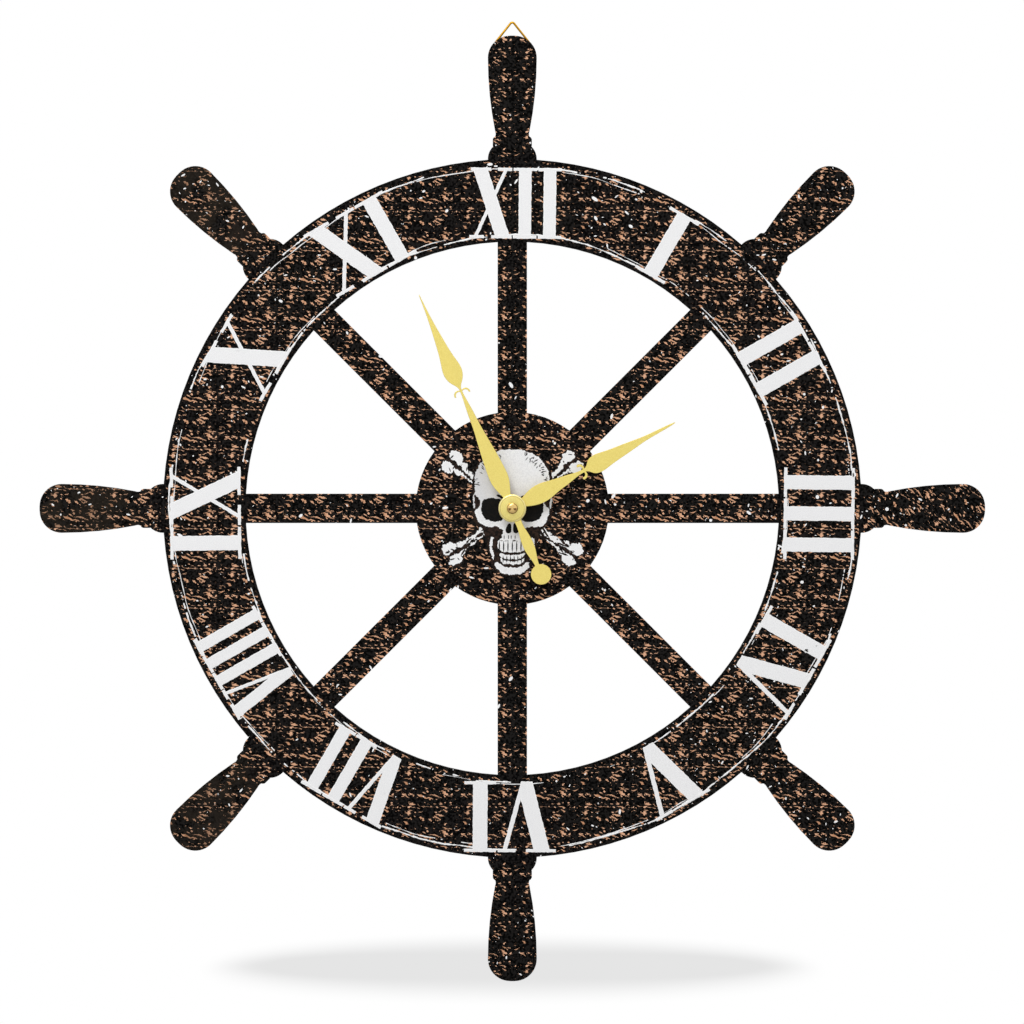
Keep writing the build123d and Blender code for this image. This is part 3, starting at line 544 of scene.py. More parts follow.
def letter_loop(letter, left, squeeze):
    """A letter as one closed loop, clockwise from its upper left corner; its numbers are millimetres."""
    def across(millimetres):
        return left + millimetres * mm * squeeze

    def serif(start, end, inner, outer):
        return [(across(start), inner), (across(start), outer), (across(end), outer), (across(end), inner)]

    def top(start, end):
        return serif(start, end, serif_top, letter_height)

    def foot(start, end):
        return serif(start, end, serif_height, 0)

    drawn = [Stroke(across(low), across(high), width * mm * math.sqrt(squeeze))
             for low, high, width in strokes[letter]]
    heavy, light = drawn[0], drawn[-1]
    if letter == "I":
        loop = (top(0, 21.4) + [heavy.at(1, serif_top), heavy.at(1, serif_height)]
                + foot(21.4, 0) + [heavy.at(0, serif_height), heavy.at(0, serif_top)])
        return loop[1:] + loop[:1]
    notch = [heavy.at(1, serif_top), heavy.meets(1, light, 0), light.at(0, serif_top)]
    if letter == "V":
        loop = (top(0, 20.1) + notch + top(27.2, 39.2)
                + [light.at(1, serif_top), light.at(1, 0), heavy.at(0, 0), heavy.at(0, serif_top)])
    else:
        loop = (top(0.8, 19.6) + notch + top(25.6, 38.8)
                + [light.at(1, serif_top), light.meets(1, heavy, 1), heavy.at(1, serif_height)]
                + foot(38.8, 20.0)
                + [heavy.at(0, serif_height), heavy.meets(0, light, 1), light.at(1, serif_height)]
                + foot(13.4, 0)
                + [light.at(0, serif_height), light.meets(0, heavy, 0), heavy.at(0, serif_top)])
    return loop[1:] + loop[:1]


# %% Set a numeral on the dial
def neighbours(loop):
    """Each point of a closed loop, between the one before it and the one after it."""
    return zip(loop[-1:] + loop[:-1], loop, loop[1:] + loop[:1])


def inset(loop, distance):
    """A loop of straight edges drawn in by this distance, with its corners kept sharp."""
    drawn_in = []
    for before, here, after in neighbours([Vector(point) for point in loop]):
        arriving = (here - before).normalized()
        leaving = (after - here).normalized()
        inwards = Vector((arriving.y + leaving.y, -arriving.x - leaving.x))
        turn = max(1 + arriving.dot(leaving), sharpest_turn)
        drawn_in.append(tuple(here + inwards * distance / turn))
    return drawn_in


def numeral_loops(word):
    """The letters of a numeral side by side about its middle, upright."""
    natural = sum(letter_widths[letter] for letter in word) + letter_gap * (len(word) - 1)
    squeeze = min(1, widest_numeral / natural)
    left = -natural * squeeze / 2
    loops = []
    for letter in word:
        loops.append(letter_loop(letter, left, squeeze))
        left += (letter_widths[letter] + letter_gap) * squeeze
    return loops


def frayed(loop, tear, chance):
    """A loop of straight edges with small random steps along them."""
    torn = []
    for _, here, after in neighbours([Vector(point) for point in loop]):
        edge = after - here
        side = Vector((edge.y, -edge.x)).normalized()
        count = max(1, round(edge.length / fray_step))
        torn.append(tuple(here))
        for part in range(1, count):
            torn.append(tuple(here + edge * part / count + side * chance.uniform(-tear, tear)))
    return torn


def on_dial(loop, degrees):
    """A loop drawn upright, stood on the dial at an angle from XII with its feet to the centre."""
    angle = math.radians(degrees)
    along, out = Vector((math.cos(angle), -math.sin(angle))), Vector((math.sin(angle), math.cos(angle)))
    return [tuple(along * x + out * (feet_radius + z) - Vector((0, print_drop))) for x, z in loop]


chance = random.Random(5)
words = ["I", "II", "III", "IV", "V", "VI", "VII", "VIII", "IX", "X", "XI", "XII"]
slips = [0.35, 0.35, 0.7, -0.15, -0.05, 0.4, 0.15, 0.15, -0.6, -0.25, 0.15, 0.6]
for hour, (word, slip) in enumerate(zip(words, slips), 1):
    loops = numeral_loops(word)
    degrees = 30 * hour + slip
    outer = [on_dial(frayed(loop, bright_tear, chance), degrees) for loop in loops]
    inner = [on_dial(frayed(inset(loop, bright_line), mottled_tear, chance), degrees) for loop in loops]
    print_piece(f"numeral_{hour}", [(outer, bright_ink), (inner, mottled_ink)])
print("numerals:", " ".join(words))

# %% [markdown]
# ## The skull and crossed bones
# The old sailors' sign fills the hub: a skull seen from the front over two crossed bones, in worn white
# ink with brown and black shading. It is drawn here from a few given points. A smooth closed line
# runs through them, and small random steps along that line give the torn edge of a worn print. As on a
# real print, the light ink goes over the brown and the black goes on last, so no shape needs a hole.

# %% Smooth and worn outlines
def flipped(points):
    """The mirror image of some points, which runs the other way."""
    return [(-x, z) for x, z in reversed(points)]


def mirrored(points):
    """The right half of an outline, from top to bottom, closed with its mirror image."""
    return points + flipped([point for point in points if point[0] > 0])


def smooth(points, step=0.5):
    """A closed line through the points, in millimetres, sampled about every step."""
    line = []
    for index in range(len(points)):
        p0, p1, p2, p3 = (Vector(points[(index + shift) % len(points)]) for shift in (-1, 0, 1, 2))
        pieces = max(2, round((p2 - p1).length / step))
        for part in range(pieces):
            t = part / pieces
            line.append(0.5 * (2 * p1 + (p2 - p0) * t + (2 * p0 - 5 * p1 + 4 * p2 - p3) * t ** 2
                               + (3 * p1 - p0 - 3 * p2 + p3) * t ** 3))
    return line


def worn(points, tear, seed):
    """A smooth outline with a torn edge, in metres: each step keeps part of the one before."""
    chance = random.Random(seed)
    loop = []
    drift = 0.0
    for before, here, after in neighbours(smooth(points)):
        along = (after - before).normalized()
        drift = drift * 0.6 + chance.uniform(-tear, tear)
        loop.append(tuple((here + Vector((along.y, -along.x)) * drift) * mm))
    return loop


def nick(x, z, angle, length, width):
    """A small leaf-shaped stroke, in metres."""
    along = Vector((math.cos(angle), math.sin(angle))) * length / 2
    across = Vector((-along.y, along.x)).normalized() * width / 2
    leaf = ((1, 0), (0.35, 0.9), (-0.4, 1), (-1, 0.1), (-0.5, -0.8), (0.3, -1))
    return [tuple((Vector((x, z)) + along * u + across * v) * mm) for u, v in leaf]


# %% The skull's inks
def skull_ink():
    """White ink with a fine grain that greys towards the lower left of the crown."""
    finish = matt_ink("skull_ink")
    x, _, z = finish.split(finish.place)
    towards_upper_right = z * 0.8 + x + finish.noise(9 * mm) * 12 * mm
    grey = (1 - finish.smooth_step(towards_upper_right, 2 * mm, 30 * mm)) * (z > 0)
    grain = finish.smooth_step(finish.noise(0.5 * mm, detail=3.0), 0.3, 0.7)
    finish.paint(grey * 0.4, finish.mix(grain, "FBFBFB", "E9E9EA"), "BDBDC1")
    return finish.material


skull_white = skull_ink()
bone_white = ink_finish("bone_white", "FBFBFB", "EDEDEE", 0.5 * mm)
shade_ink = ink_finish("shade_ink", "120D0B", "35261F", 1.5 * mm, 0.42, 0.6)
black_ink = ink_finish("black_ink", "0A0A0A", "17130F", 1.2 * mm, 0.4, 0.7)

# %% [markdown]
# ### Bones
# Both bones are one half bone turned four ways. Each end has two knuckles. The bone is brown, and what
# is left of the white lies on it in separate patches with torn edges, eaten by dark nicks.

# %% Four half bones, in millimetres from the hand axis
bone_angle = 37.5
bone_half = [(14, 3.2), (30, 2.7), (38, 3.1), (42.4, 6.0), (46.4, 8.4), (51.6, 7.6), (53.6, 3.8),
             (51.0, 0.4), (53.8, -2.2), (52.4, -6.8), (47.2, -8.4), (42.6, -6.0), (38, -3.4),
             (30, -3.2), (14, -3.6)]
bone_patches = [[(42.0, 2.2), (43.6, 5.8), (47.2, 7.9), (51.4, 7.0), (52.6, 3.8), (50.0, 1.4), (46.2, 1.5)],
                [(44.4, -1.6), (49.0, -0.8), (52.8, -2.8), (51.8, -6.4), (47.8, -7.4), (44.2, -5.4)],
                [(14, 2.5), (30, 2.3), (37, 2.6), (41.2, 4.6), (42.6, 2.8), (41.0, 0.9), (36.0, -0.2),
                 (30, -0.9), (23, -0.6), (14, -0.9)],
                [(24, -2.2), (33, -1.9), (40.4, -1.6), (44.4, -2.8), (43.0, -4.6), (38, -3.0), (30, -2.7)]]
bone_tear = 0.45
patch_tear = 0.5
worn_places = 13
worn_ranges = ((22, 50), (-3.5, 4.5), (-0.4, 0.4), (2.5, 6.5), (0.8, 2.0))
bone_nicks = 16
nick_ranges = ((24, 51), (-5, 5), (0, math.pi), (0.9, 3.6), (0.4, 0.9))


def turned(points, degrees, flip):
    """Points on a bone that lies along X, mirrored first if flip is -1, then turned."""
    turn = Matrix.Rotation(math.radians(degrees), 2)
    return [tuple(turn @ Vector((x, z * flip))) for x, z in points]


def strewn(count, ranges, degrees, flip, slant=0.0):
    """Strokes on a half bone; the ranges are along it, across it, angle, length and width."""
    strokes = []
    for _ in range(count):
        *spot, angle, length, width = (chance.uniform(*ends) for ends in ranges)
        strokes.append(nick(*turned([spot], degrees, flip)[0], slant + angle, length, width))
    return strokes


chance = random.Random(31)
brown, white, worn_through, black = [], [], [], []
for seed, degrees in enumerate((bone_angle, 180 - bone_angle, 180 + bone_angle, -bone_angle), 20):
    flip = 1 if math.cos(math.radians(degrees)) > 0 else -1
    points_down = math.sin(math.radians(degrees)) < 0
    brown.append(worn(turned(bone_half, degrees, flip), bone_tear, seed))
    white += [worn(turned(patch, degrees, flip), patch_tear, seed + 10) for patch in bone_patches]
    worn_through += strewn(worn_places * points_down, worn_ranges, degrees, flip, math.radians(degrees))
    black += strewn(bone_nicks, nick_ranges, degrees, flip)
print_piece("bones_print", [(brown, shade_ink), (white, bone_white), (worn_through, shade_ink),
                            (black, black_ink)])

# %% [markdown]
# ### Skull
# White goes on for the crown and cheekbones, the teeth, the gum, the chin and the edges of the jaw and
# temples, and the brown shows between them. Black makes the eye sockets, the nose, the gaps between
# teeth and many short cracks that run in from the crown's edge.

# %% Outlines of the skull, in millimetres from the hand axis
brown_half = [(0, 37.9), (9, 37.1), (17.0, 33.2), (22.9, 26.6), (25.6, 17.8), (25.2, 9.2), (24.4, 3),
              (25.6, -2.2), (23.6, -9.0), (18.4, -14), (16.2, -21), (14.4, -30), (12.0, -37.4),
              (6.4, -42.0), (0, -42.8)]
face_half = [(0, 37.0), (8.6, 36.2), (16.2, 32.4), (21.6, 26.2), (24.0, 17.6), (23.4, 9.8), (20.8, 4.4),
             (20.9, 1.6), (23.6, -1.6), (22.4, -6.4), (18.8, -10.6), (14.2, -11.6), (9.4, -11.8),
             (6.2, -14.2), (6.8, -18.2), (8.8, -20.4), (4.4, -20.8), (0, -20.6)]
upper_teeth_half = [(0, -20.9), (4.6, -21.0), (8.8, -20.6), (9.2, -23.8), (7.4, -26.8), (3.4, -27.9),
                    (0, -28)]
lower_teeth_half = [(0, -29.6), (4.4, -29.4), (7.6, -28.4), (7.4, -30.2), (5.0, -31.8), (0, -32.2)]
gum_half = [(0, -33.6), (4.6, -33.0), (7.2, -31.4), (7.8, -32.8), (5.4, -35.0), (0, -35.8)]
chin_half = [(0, -37.6), (5.2, -37.0), (9.0, -34.2), (10.9, -34.6), (9.8, -38.0), (5.6, -41.2), (0, -42.0)]
jaw_edge = [(12.2, -18.4), (13.7, -19.2), (14.1, -24.4), (12.7, -31.0), (11.5, -32.6), (11.9, -28.6),
            (12.7, -23.6)]
temple = [(24.0, 9.6), (25.2, 6.4), (24.8, 1.4), (23.8, 0.0), (23.9, 4.8)]
socket = [(4.4, 2.2), (7.0, 5.4), (12.0, 6.4), (17.2, 5.8), (19.4, 3.0), (19.2, -3.0), (16.4, -7.0),
          (11.0, -8.5), (6.6, -7.4), (4.8, -3.6)]
nostril = [(0.6, -10.6), (1.7, -9.4), (3.4, -11.2), (4.1, -14.4), (2.6, -15.9), (0.8, -14.9)]
brow = [(2.6, 4.4), (5.4, 7.4), (9.6, 8.6), (9.2, 7.6), (5.6, 5.4)]
# Each outline with its tear and its seed.
white_halves = [(face_half, 0.4, 7), (upper_teeth_half, 0.3, 8), (lower_teeth_half, 0.3, 9),
                (gum_half, 0.4, 24), (chin_half, 0.4, 10)]
white_sides = [(jaw_edge, 0.5, 26), (temple, 0.4, 28)]
black_sides = [(socket, 0.3, 11), (nostril, 0.12, 14), (brow, 0.2, 20)]
tooth_pitch = 2.75
lower_share = 0.85
upright = math.pi / 2
# The height, angle, length and width of the gaps between the teeth.
upper_gap = (-24.2, upright, 7.6, 0.8)
lower_gap = (-32.2, upright, 4.8, 0.65)
gum_crack = (-18.2, upright, 3.0, 0.5)
# Short cracks run in from the edge of the crown, which is half an ellipse.
crack_count = 60
crown_middle = 13.4
crown_width, crown_height = 23.8, 22.6

# %% Draw it
chance = random.Random(12)
brown = [worn(mirrored(brown_half), 0.35, 6)]
white = [worn(mirrored(half), tear, seed) for half, tear, seed in white_halves]
black = []
for side, turn in ((1, list), (-1, flipped)):
    white += [worn(turn(shape), tear, seed + side) for shape, tear, seed in white_sides]
    black += [worn(turn(shape), tear, seed + side) for shape, tear, seed in black_sides]
for place in range(-3, 4):
    black.append(nick(place * tooth_pitch, *upper_gap))
    black.append(nick((place + 0.5) * tooth_pitch * lower_share, *lower_gap))
    black.append(nick(place * tooth_pitch + chance.uniform(-1, 1), *gum_crack))
for _ in range(crack_count):
    side = chance.choice((-1, 1))
    angle = chance.uniform(0.05, 1.25)
    reach = Vector((crown_width * math.cos(angle), crown_height * math.sin(angle)))
    reach *= chance.uniform(0.86, 1.02)
    slant = math.atan2(reach.y, reach.x) + chance.uniform(-0.5, 0.5)
    slant = slant if side > 0 else math.pi - slant
    length, width = chance.uniform(1.0, 3.2), chance.uniform(0.35, 0.7)
    black.append(nick(side * reach.x, crown_middle + reach.y, slant, length, width))
print_piece("skull_print", [(brown, shade_ink), (white, skull_white), (black, black_ink)], first=4)
print("skull:", len(white), "white shapes,", len(black), "black shapes")

# %% [markdown]
# ## Recipes
# Worn spots, scratches and screw threads repeat or follow a path, so Geometry Nodes make them. A
# `Recipe` is such a tree with named inputs. It runs once: its result becomes a plain mesh and the
# modifier goes, because the exported model keeps only plain meshes. Its random choices have a seed, so
# the clock comes out the same each time.

# %% The recipe class
def plain_mesh(holder):
    """The mesh of an object with its modifiers done."""
    return bpy.data.meshes.new_from_object(holder.evaluated_get(bpy.context.evaluated_depsgraph_get()))


class Recipe(Graph):
    """A Geometry Nodes tree with named inputs, which are numbers unless their kind is given."""

    def __init__(self, name, *numbers, **others):
        super().__init__(bpy.data.node_groups.new(name, "GeometryNodeTree"))
        sides = self.tree.interface
        sides.new_socket("mesh", in_out="OUTPUT", socket_type="NodeSocketGeometry")
        kinds = {"mesh": "Geometry", **dict.fromkeys(numbers, "Float"), **others, "material": "Material"}
        for key, kind in kinds.items():
            sides.new_socket(key, in_out="INPUT", socket_type="NodeSocket" + kind)
        self.given = self.outputs("NodeGroupInput")
        self.place = self.node("GeometryNodeInputPosition")

    def noise(self, size, shift):
        """A noise over the place, from 0 to 1, that the shift makes a different one."""
        point = self.vector("MULTIPLY", self.place, (1 / size, 1 / size, 1 / size))
        point = self.vector("ADD", point, self.combine(X=shift))
        return self.node("ShaderNodeTexNoise", {"Vector": point, "Scale": 1.0, "Detail": 2.0})

    def vector(self, operation, *values):
        return self.node("ShaderNodeVectorMath", dict(enumerate(values)), operation=operation)

    def chance(self, low, high, seed):
        return self.node("FunctionNodeRandomValue", {"Min": low, "Max": high, "Seed": seed}, "Value",
                         data_type="FLOAT")

    def circle(self, sides, radius):
        return self.node("GeometryNodeCurvePrimitiveCircle", {"Resolution": sides, "Radius": radius},
                         "Curve", mode="RADIUS")

    def wire(self, path, sides, radius, **more):
        """A closed wire with this many sides along a curve."""
        profile = self.circle(sides, radius)
        return self.node("GeometryNodeCurveToMesh", {"Curve": path, "Profile Curve": profile,
                                                     "Fill Caps": True, **more})

    def close(self, geometry):
        """The end of the tree: real geometry with its material."""
        real = self.node("GeometryNodeRealizeInstances", {"Geometry": geometry})
        done = self.node("GeometryNodeSetMaterial", {"Geometry": real, "Material": self.given["material"]})
        self.fill(self.tree.nodes.new("NodeGroupOutput"), "mesh", done)
        return self

    def close_upright(self, geometry, y):
        """The same for geometry drawn lying down, which is turned up into the dial's plane."""
        return self.close(self.node("GeometryNodeTransform", {
            "Geometry": geometry, "Rotation": (math.pi / 2, 0, 0), "Translation": self.combine(Y=y)}))

    def run(self, source, **values):
        """The plain mesh that the tree makes of a source mesh."""
        holder = in_scene("recipe", source)
        modifier = holder.modifiers.new("recipe", "NODES")
        modifier.node_group = self.tree
        for item in self.tree.interface.items_tree:
            if item.in_out == "INPUT" and item.name in values:
                modifier[item.identifier] = values[item.name]
        mesh = plain_mesh(holder)
        bpy.data.objects.remove(holder)
        return mesh


# %% [markdown]
# ## Worn spots
# Small white spots are spattered over the print: many tiny elongated ones, and a shower of round ones
# by the numerals two to four. Points are scattered over the board's own front faces, more of them
# where a slow noise is high and round a chosen middle, and each gets a thin seven-sided disc.

# %% The spatter recipe
def spatter_recipe():
    recipe = Recipe("spatter", "density", "middle_x", "middle_z", "reach", "smallest", "largest",
                    "longest", "height", seed="Int")
    given = recipe.given
    _, facing, _ = recipe.split(recipe.node("GeometryNodeInputNormal"))
    x, _, z = recipe.split(recipe.place)
    away = hypotenuse(x - given["middle_x"], z - given["middle_z"]) / given["reach"]
    crowd = recipe.smooth_step(recipe.noise(35 * mm, given["seed"]), 0.42, 0.68)
    density = given["density"] * crowd * (1 - recipe.smooth_step(away, 0.6, 1.0))
    scattered = recipe.node("GeometryNodeDistributePointsOnFaces", {
        "Mesh": given["mesh"], "Selection": facing < -0.9, "Density": density, "Seed": given["seed"]},
        "Points", distribute_method="RANDOM")
    disc = recipe.node("GeometryNodeMeshCylinder", {"Vertices": 7, "Radius": 1.0, "Depth": 1.0}, "Mesh")
    luck = recipe.chance(0.0, 1.0, 3)
    radius = given["smallest"] + (given["largest"] - given["smallest"]) * luck * luck * luck
    length = radius * recipe.chance(1.0, given["longest"], 4)
    return recipe.close(recipe.node("GeometryNodeInstanceOnPoints", {
        "Points": scattered, "Instance": disc,
        "Rotation": recipe.combine(X=math.pi / 2, Y=recipe.chance(0.0, math.tau, 5)),
        "Scale": recipe.combine(X=length, Y=radius, Z=given["height"])}))


def ink_marks(name, mesh):
    """Marks of a recipe, as a print on the board."""
    new_piece(name, mesh, "frame")
    print(name, len(mesh.polygons), "faces")


board_mesh = frame["nodes"]["wheel_board"].data
spatter = spatter_recipe()
spots = {
    "spatter_fine": dict(density=22000.0, middle_x=0.0, middle_z=0.0, reach=0.5, smallest=0.16 * mm,
                         largest=0.60 * mm, longest=3.2, height=0.16 * mm, seed=4),
    "spatter_round": dict(density=5200.0, middle_x=0.19, middle_z=-0.005, reach=0.16, smallest=0.35 * mm,
                          largest=1.6 * mm, longest=1.3, height=0.2 * mm, seed=9),
    "spatter_coarse": dict(density=2600.0, middle_x=-0.02, middle_z=-0.02, reach=0.5, smallest=0.25 * mm,
                           largest=1.1 * mm, longest=2.4, height=0.2 * mm, seed=17)}
for name, sizes in spots.items():
    ink_marks(name, spatter.run(board_mesh, material=bright_ink, **sizes))

# %% [markdown]
# ## Scratched rings
# Two rings of white scratches follow the rim, one near each edge. They are thin lines that wander a
# little, swell and fade, and break off. A circle curve is pushed in and out by a noise, cut where a
# second noise is low, and given a width by a third one.

# %% The scratch recipe
def scratch_recipe():
    recipe = Recipe("scratch", "radius", "wander", "width", "kept", "depth", "flatness", "seed")
    given = recipe.given
    seed = given["seed"]
    push = (recipe.noise(50 * mm, seed) - 0.5) * given["wander"]
    push = push + (recipe.noise(1.5 * mm, seed) - 0.5) * given["width"] * 0.6
    offset = recipe.node("ShaderNodeVectorMath", {0: recipe.vector("NORMALIZE", recipe.place),
                                                  "Scale": push}, operation="SCALE")
    pushed = recipe.node("GeometryNodeSetPosition", {"Geometry": recipe.circle(2600, given["radius"]),
                                                     "Offset": offset})
    line = recipe.node("GeometryNodeCurveToMesh", {"Curve": pushed})
    gone = recipe.noise(40 * mm, seed + 20.0) + recipe.noise(2 * mm, seed + 30.0) * 0.16
    cut = recipe.node("GeometryNodeDeleteGeometry", {"Geometry": line, "Selection": gone > given["kept"]},
                      domain="POINT")
    strands = recipe.node("GeometryNodeMeshToCurve", {"Mesh": cut}, "Curve")
    swell = recipe.smooth_step(recipe.noise(6 * mm, seed + 40.0), 0.3, 0.65)
    strip = recipe.wire(strands, 6, 1.0, Scale=given["width"] * (0.25 + 0.75 * swell) / 2)
    flat = recipe.vector("MULTIPLY", recipe.place, recipe.combine(X=1.0, Y=1.0, Z=given["flatness"]))
    strip = recipe.node("GeometryNodeSetPosition", {"Geometry": strip, "Position": flat})
    return recipe.close_upright(strip, given["depth"])


scratch = scratch_recipe()
# The radius, the wander and the width in millimetres, the share that is kept, and the seed.
rings = [("scratch_outer", 216.9, 6.0, 1.3, 0.61, 2.0), ("scratch_outer_thin", 215.4, 7.0, 0.7, 0.59, 5.0),
         ("scratch_inner", 173.4, 4.0, 1.3, 0.60, 8.0), ("scratch_inner_thin", 175.0, 5.0, 0.6, 0.56, 11.0)]
for name, radius, wander, width, kept, seed in rings:
    ink_marks(name, scratch.run(bpy.data.meshes.new(name), radius=radius * mm, wander=wander * mm,
                                width=width * mm, kept=kept, flatness=0.25, depth=-board_front, seed=seed,
                                material=bright_ink))

# %% [markdown]
# ## Rounded copies
# The construction's edges are sharp, and light catches no sharp edge on a real thing. A stamped hand
# or a moulded case has a small rounded edge. On the hands and the boss the edge gets its own material,
# painted darker on the hands as painted shade and paler on the boss as a painted highlight. So the pieces
# that show are copied, merged, cleaned of needless edges and bevelled, and the copy stands for the piece.

# %% Bodies, and a rounded copy
body_of = {node: body for body, nodes in frame["record"]["behaviour"]["bodies"].items() for node in nodes}
merge_distance = 0.002 * mm
flat_angle = math.radians(1)


def rounded(node, radius, *materials, steepness=35, segments=2, smooth_angle=40):
    """A copy of a node with rounded edges, in the first material or, on the edges, in the last."""
    mesh = frame["nodes"][node].data.copy()
    with edited(mesh) as shape:
        bmesh.ops.remove_doubles(shape, verts=shape.verts, dist=merge_distance)
        bmesh.ops.dissolve_limit(shape, angle_limit=flat_angle, verts=shape.verts, edges=shape.edges)
        for face in shape.faces:
            face.material_index = 0
    mesh.materials.clear()
    for material in materials:
        mesh.materials.append(material)
    piece = new_piece(node + "_finished", mesh, body_of[node])
    bevel = piece.modifiers.new("edge", "BEVEL")
    bevel.width = radius
    bevel.segments = segments
    bevel.limit_method = "ANGLE"
    bevel.angle_limit = math.radians(steepness)
    bevel.material = len(materials) - 1
    piece.data = plain_mesh(piece)
    piece.modifiers.clear()
    for face in piece.data.polygons:
        face.use_smooth = True
    piece.data.set_sharp_from_angle(angle=math.radians(smooth_angle))
    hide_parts(node)
    return piece


# %% [markdown]
# ## Gold hands
# The hands are stamped from thin sheet and plated a pale satin gold. Their face is almost even, with a
# fine grain that catches the light, and their rounded edge is painted a darker gold as painted shade. The
# boss is a disc with a turned bevel, polished and painted paler as a painted highlight, and a thin dark ring
# is painted where the bevel begins as painted shade. The nut over it is a small polished dome of redder
# brass, with dark wedges painted on it as painted reflections and a dark rim, darkest at the lower right,
# as painted shade.

# %% Metals
def metal(name, light, dark, grain, roughness, stretch=(1, 1, 1), metallic=1.0, depth=0.01 * mm):
    """A satin metal in two close tones, mottled and slightly rough at the size of the grain."""
    finish = Finish(name, metallic=metallic)
    mottle = finish.noise(grain, stretch, detail=3.0, roughness=0.6)
    finish.paint(finish.smooth_step(mottle, 0.3, 0.7), light, dark)
    finish.set("Roughness", roughness + 0.14 * (finish.noise(grain * 6) - 0.5))
    finish.bump(finish.noise(grain * 0.6, stretch), depth, 0.5)
    return finish.material


hand_gold = metal("hand_gold", "F9E788", "EFDA76", 0.5 * mm, 0.42, metallic=0.9)
# Painted shade: the rounded edge of the hands is a darker gold than their face.
hand_edge = metal("hand_edge", "D3B659", "BF9F48", 0.5 * mm, 0.38, metallic=0.9)
# The boss's bevel is polished, and also painted near white as a painted highlight.
boss_edge = metal("boss_edge", "FFF8CC", "F8ECB0", 0.5 * mm, 0.28, metallic=0.9)
for node in ("hour_hand", "minute_hand"):
    hand = rounded(node, 0.2 * mm, hand_gold, hand_edge, smooth_angle=15)
    print(node, len(hand.data.polygons), "faces")

# %% The boss and the polished dome
boss_low, boss_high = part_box("boss_disc")
boss_shade_line = (boss_high.x - boss_low.x) / 2 - 1.2 * mm


def boss_finish():
    """Satin gold with a fine grain, and a thin darker line just inside the edge as painted shade where the
    bevel begins.
    """
    finish = Finish("boss_gold", metallic=0.9)
    x, _, z = finish.split(finish.place)
    # Painted shade: a thin darker ring where the bevel meets the face.
    line = 1 - finish.smooth_step(abs(hypotenuse(x, z) - boss_shade_line), 0.12 * mm, 0.4 * mm)
    grain = finish.smooth_step(finish.noise(0.4 * mm), 0.3, 0.7)
    finish.paint(line * 0.4, finish.mix(grain, "F9EA92", "EDDA7F"), "A8853A")
    finish.set("Roughness", 0.38 + 0.14 * (finish.noise(2.4 * mm) - 0.5))
    finish.bump(finish.noise(0.25 * mm), 0.01 * mm, 0.5)
    return finish.material


def dome_finish():
    """Polished brass with painted reflections, a dark wedge low on either side, and a painted shade rim,
    darkest at the lower right.
    """
    finish = Finish("dome_brass", metallic=1.0, roughness=0.22)
    x, _, z = finish.split(finish.place)
    radius = hypotenuse(x, z)
    # Painted reflections: two dark wedges low on either side of the middle.
    towards = (abs(x) * 0.95 - z * 0.3) / (radius + 0.01 * mm)
    painted_reflection_wedges = finish.smooth_step(towards, 0.86, 0.97) * finish.smooth_step(radius, 0.4 * mm, 1.0 * mm)
    painted_reflection_wedges = painted_reflection_wedges * (1 - finish.smooth_step(radius, 2.2 * mm, 2.8 * mm))
    # Painted shade: the rim is darker all round, and darkest at the lower right.
    shaded_lower_right = finish.smooth_step(x - z, -2 * mm, 3 * mm)
    painted_shade_rim = finish.smooth_step(radius, 2.8 * mm, 3.3 * mm) * (0.35 + 0.65 * shaded_lower_right)
    brass = finish.mix(finish.noise(0.6 * mm), "EFD08C", "DDB670")
    finish.paint(painted_shade_rim * 0.95, finish.mix(painted_reflection_wedges * 0.9, brass, "6A421C"), "5E3C1B")
    return finish.material


rounded("boss_disc", 0.22 * mm, boss_finish(), boss_edge, steepness=25, segments=3)
rounded("cap_nut", 0.15 * mm, dome_finish(), segments=3)

# %% [markdown]
# ## Hanger
# The ring is bent from deep yellow plated wire, held by a folded strap and one screw.

# %% Hanger
ring_gold = metal("ring_gold", "D9A92E", "B98214", 0.7 * mm, 0.3)
strap_gold = metal("strap_gold", "DDBB62", "C29A44", 0.4 * mm, 0.34, (4, 1, 1), depth=0.02 * mm)
screw_gold = metal("screw_gold", "D8B866", "B58F45", 0.3 * mm, 0.3)
rounded("hanger_ring", 0.05 * mm, ring_gold, steepness=60)
rounded("hanger_strap", 0.12 * mm, strap_gold)
rounded("hanger_screw", 0.08 * mm, screw_gold)

# %% [markdown]
# ## Plastics and rubber
# Moulded plastic comes from a steel mould that was roughened by sparks, so its skin has a fine even
# grain, and it is polished a little where it was handled. The case is black, the setting knob is a warm
# white, and the gears are acetal, which is milky and a bit waxy.

# %% Plastics
def plastic(name, light, dark, grain=0.12 * mm, roughness=0.5, depth=0.02 * mm, **constants):
    """Moulded plastic with a fine grain and a slow change of tone and gloss."""
    finish = Finish(name, **constants)
    finish.paint(finish.noise(8 * mm, detail=3.0), light, dark)
    finish.set("Roughness", roughness + 0.2 * (finish.noise(3 * mm, detail=3.0) - 0.5))
    finish.bump(finish.noise(grain, detail=1.0), depth, 0.6)
    return finish.material


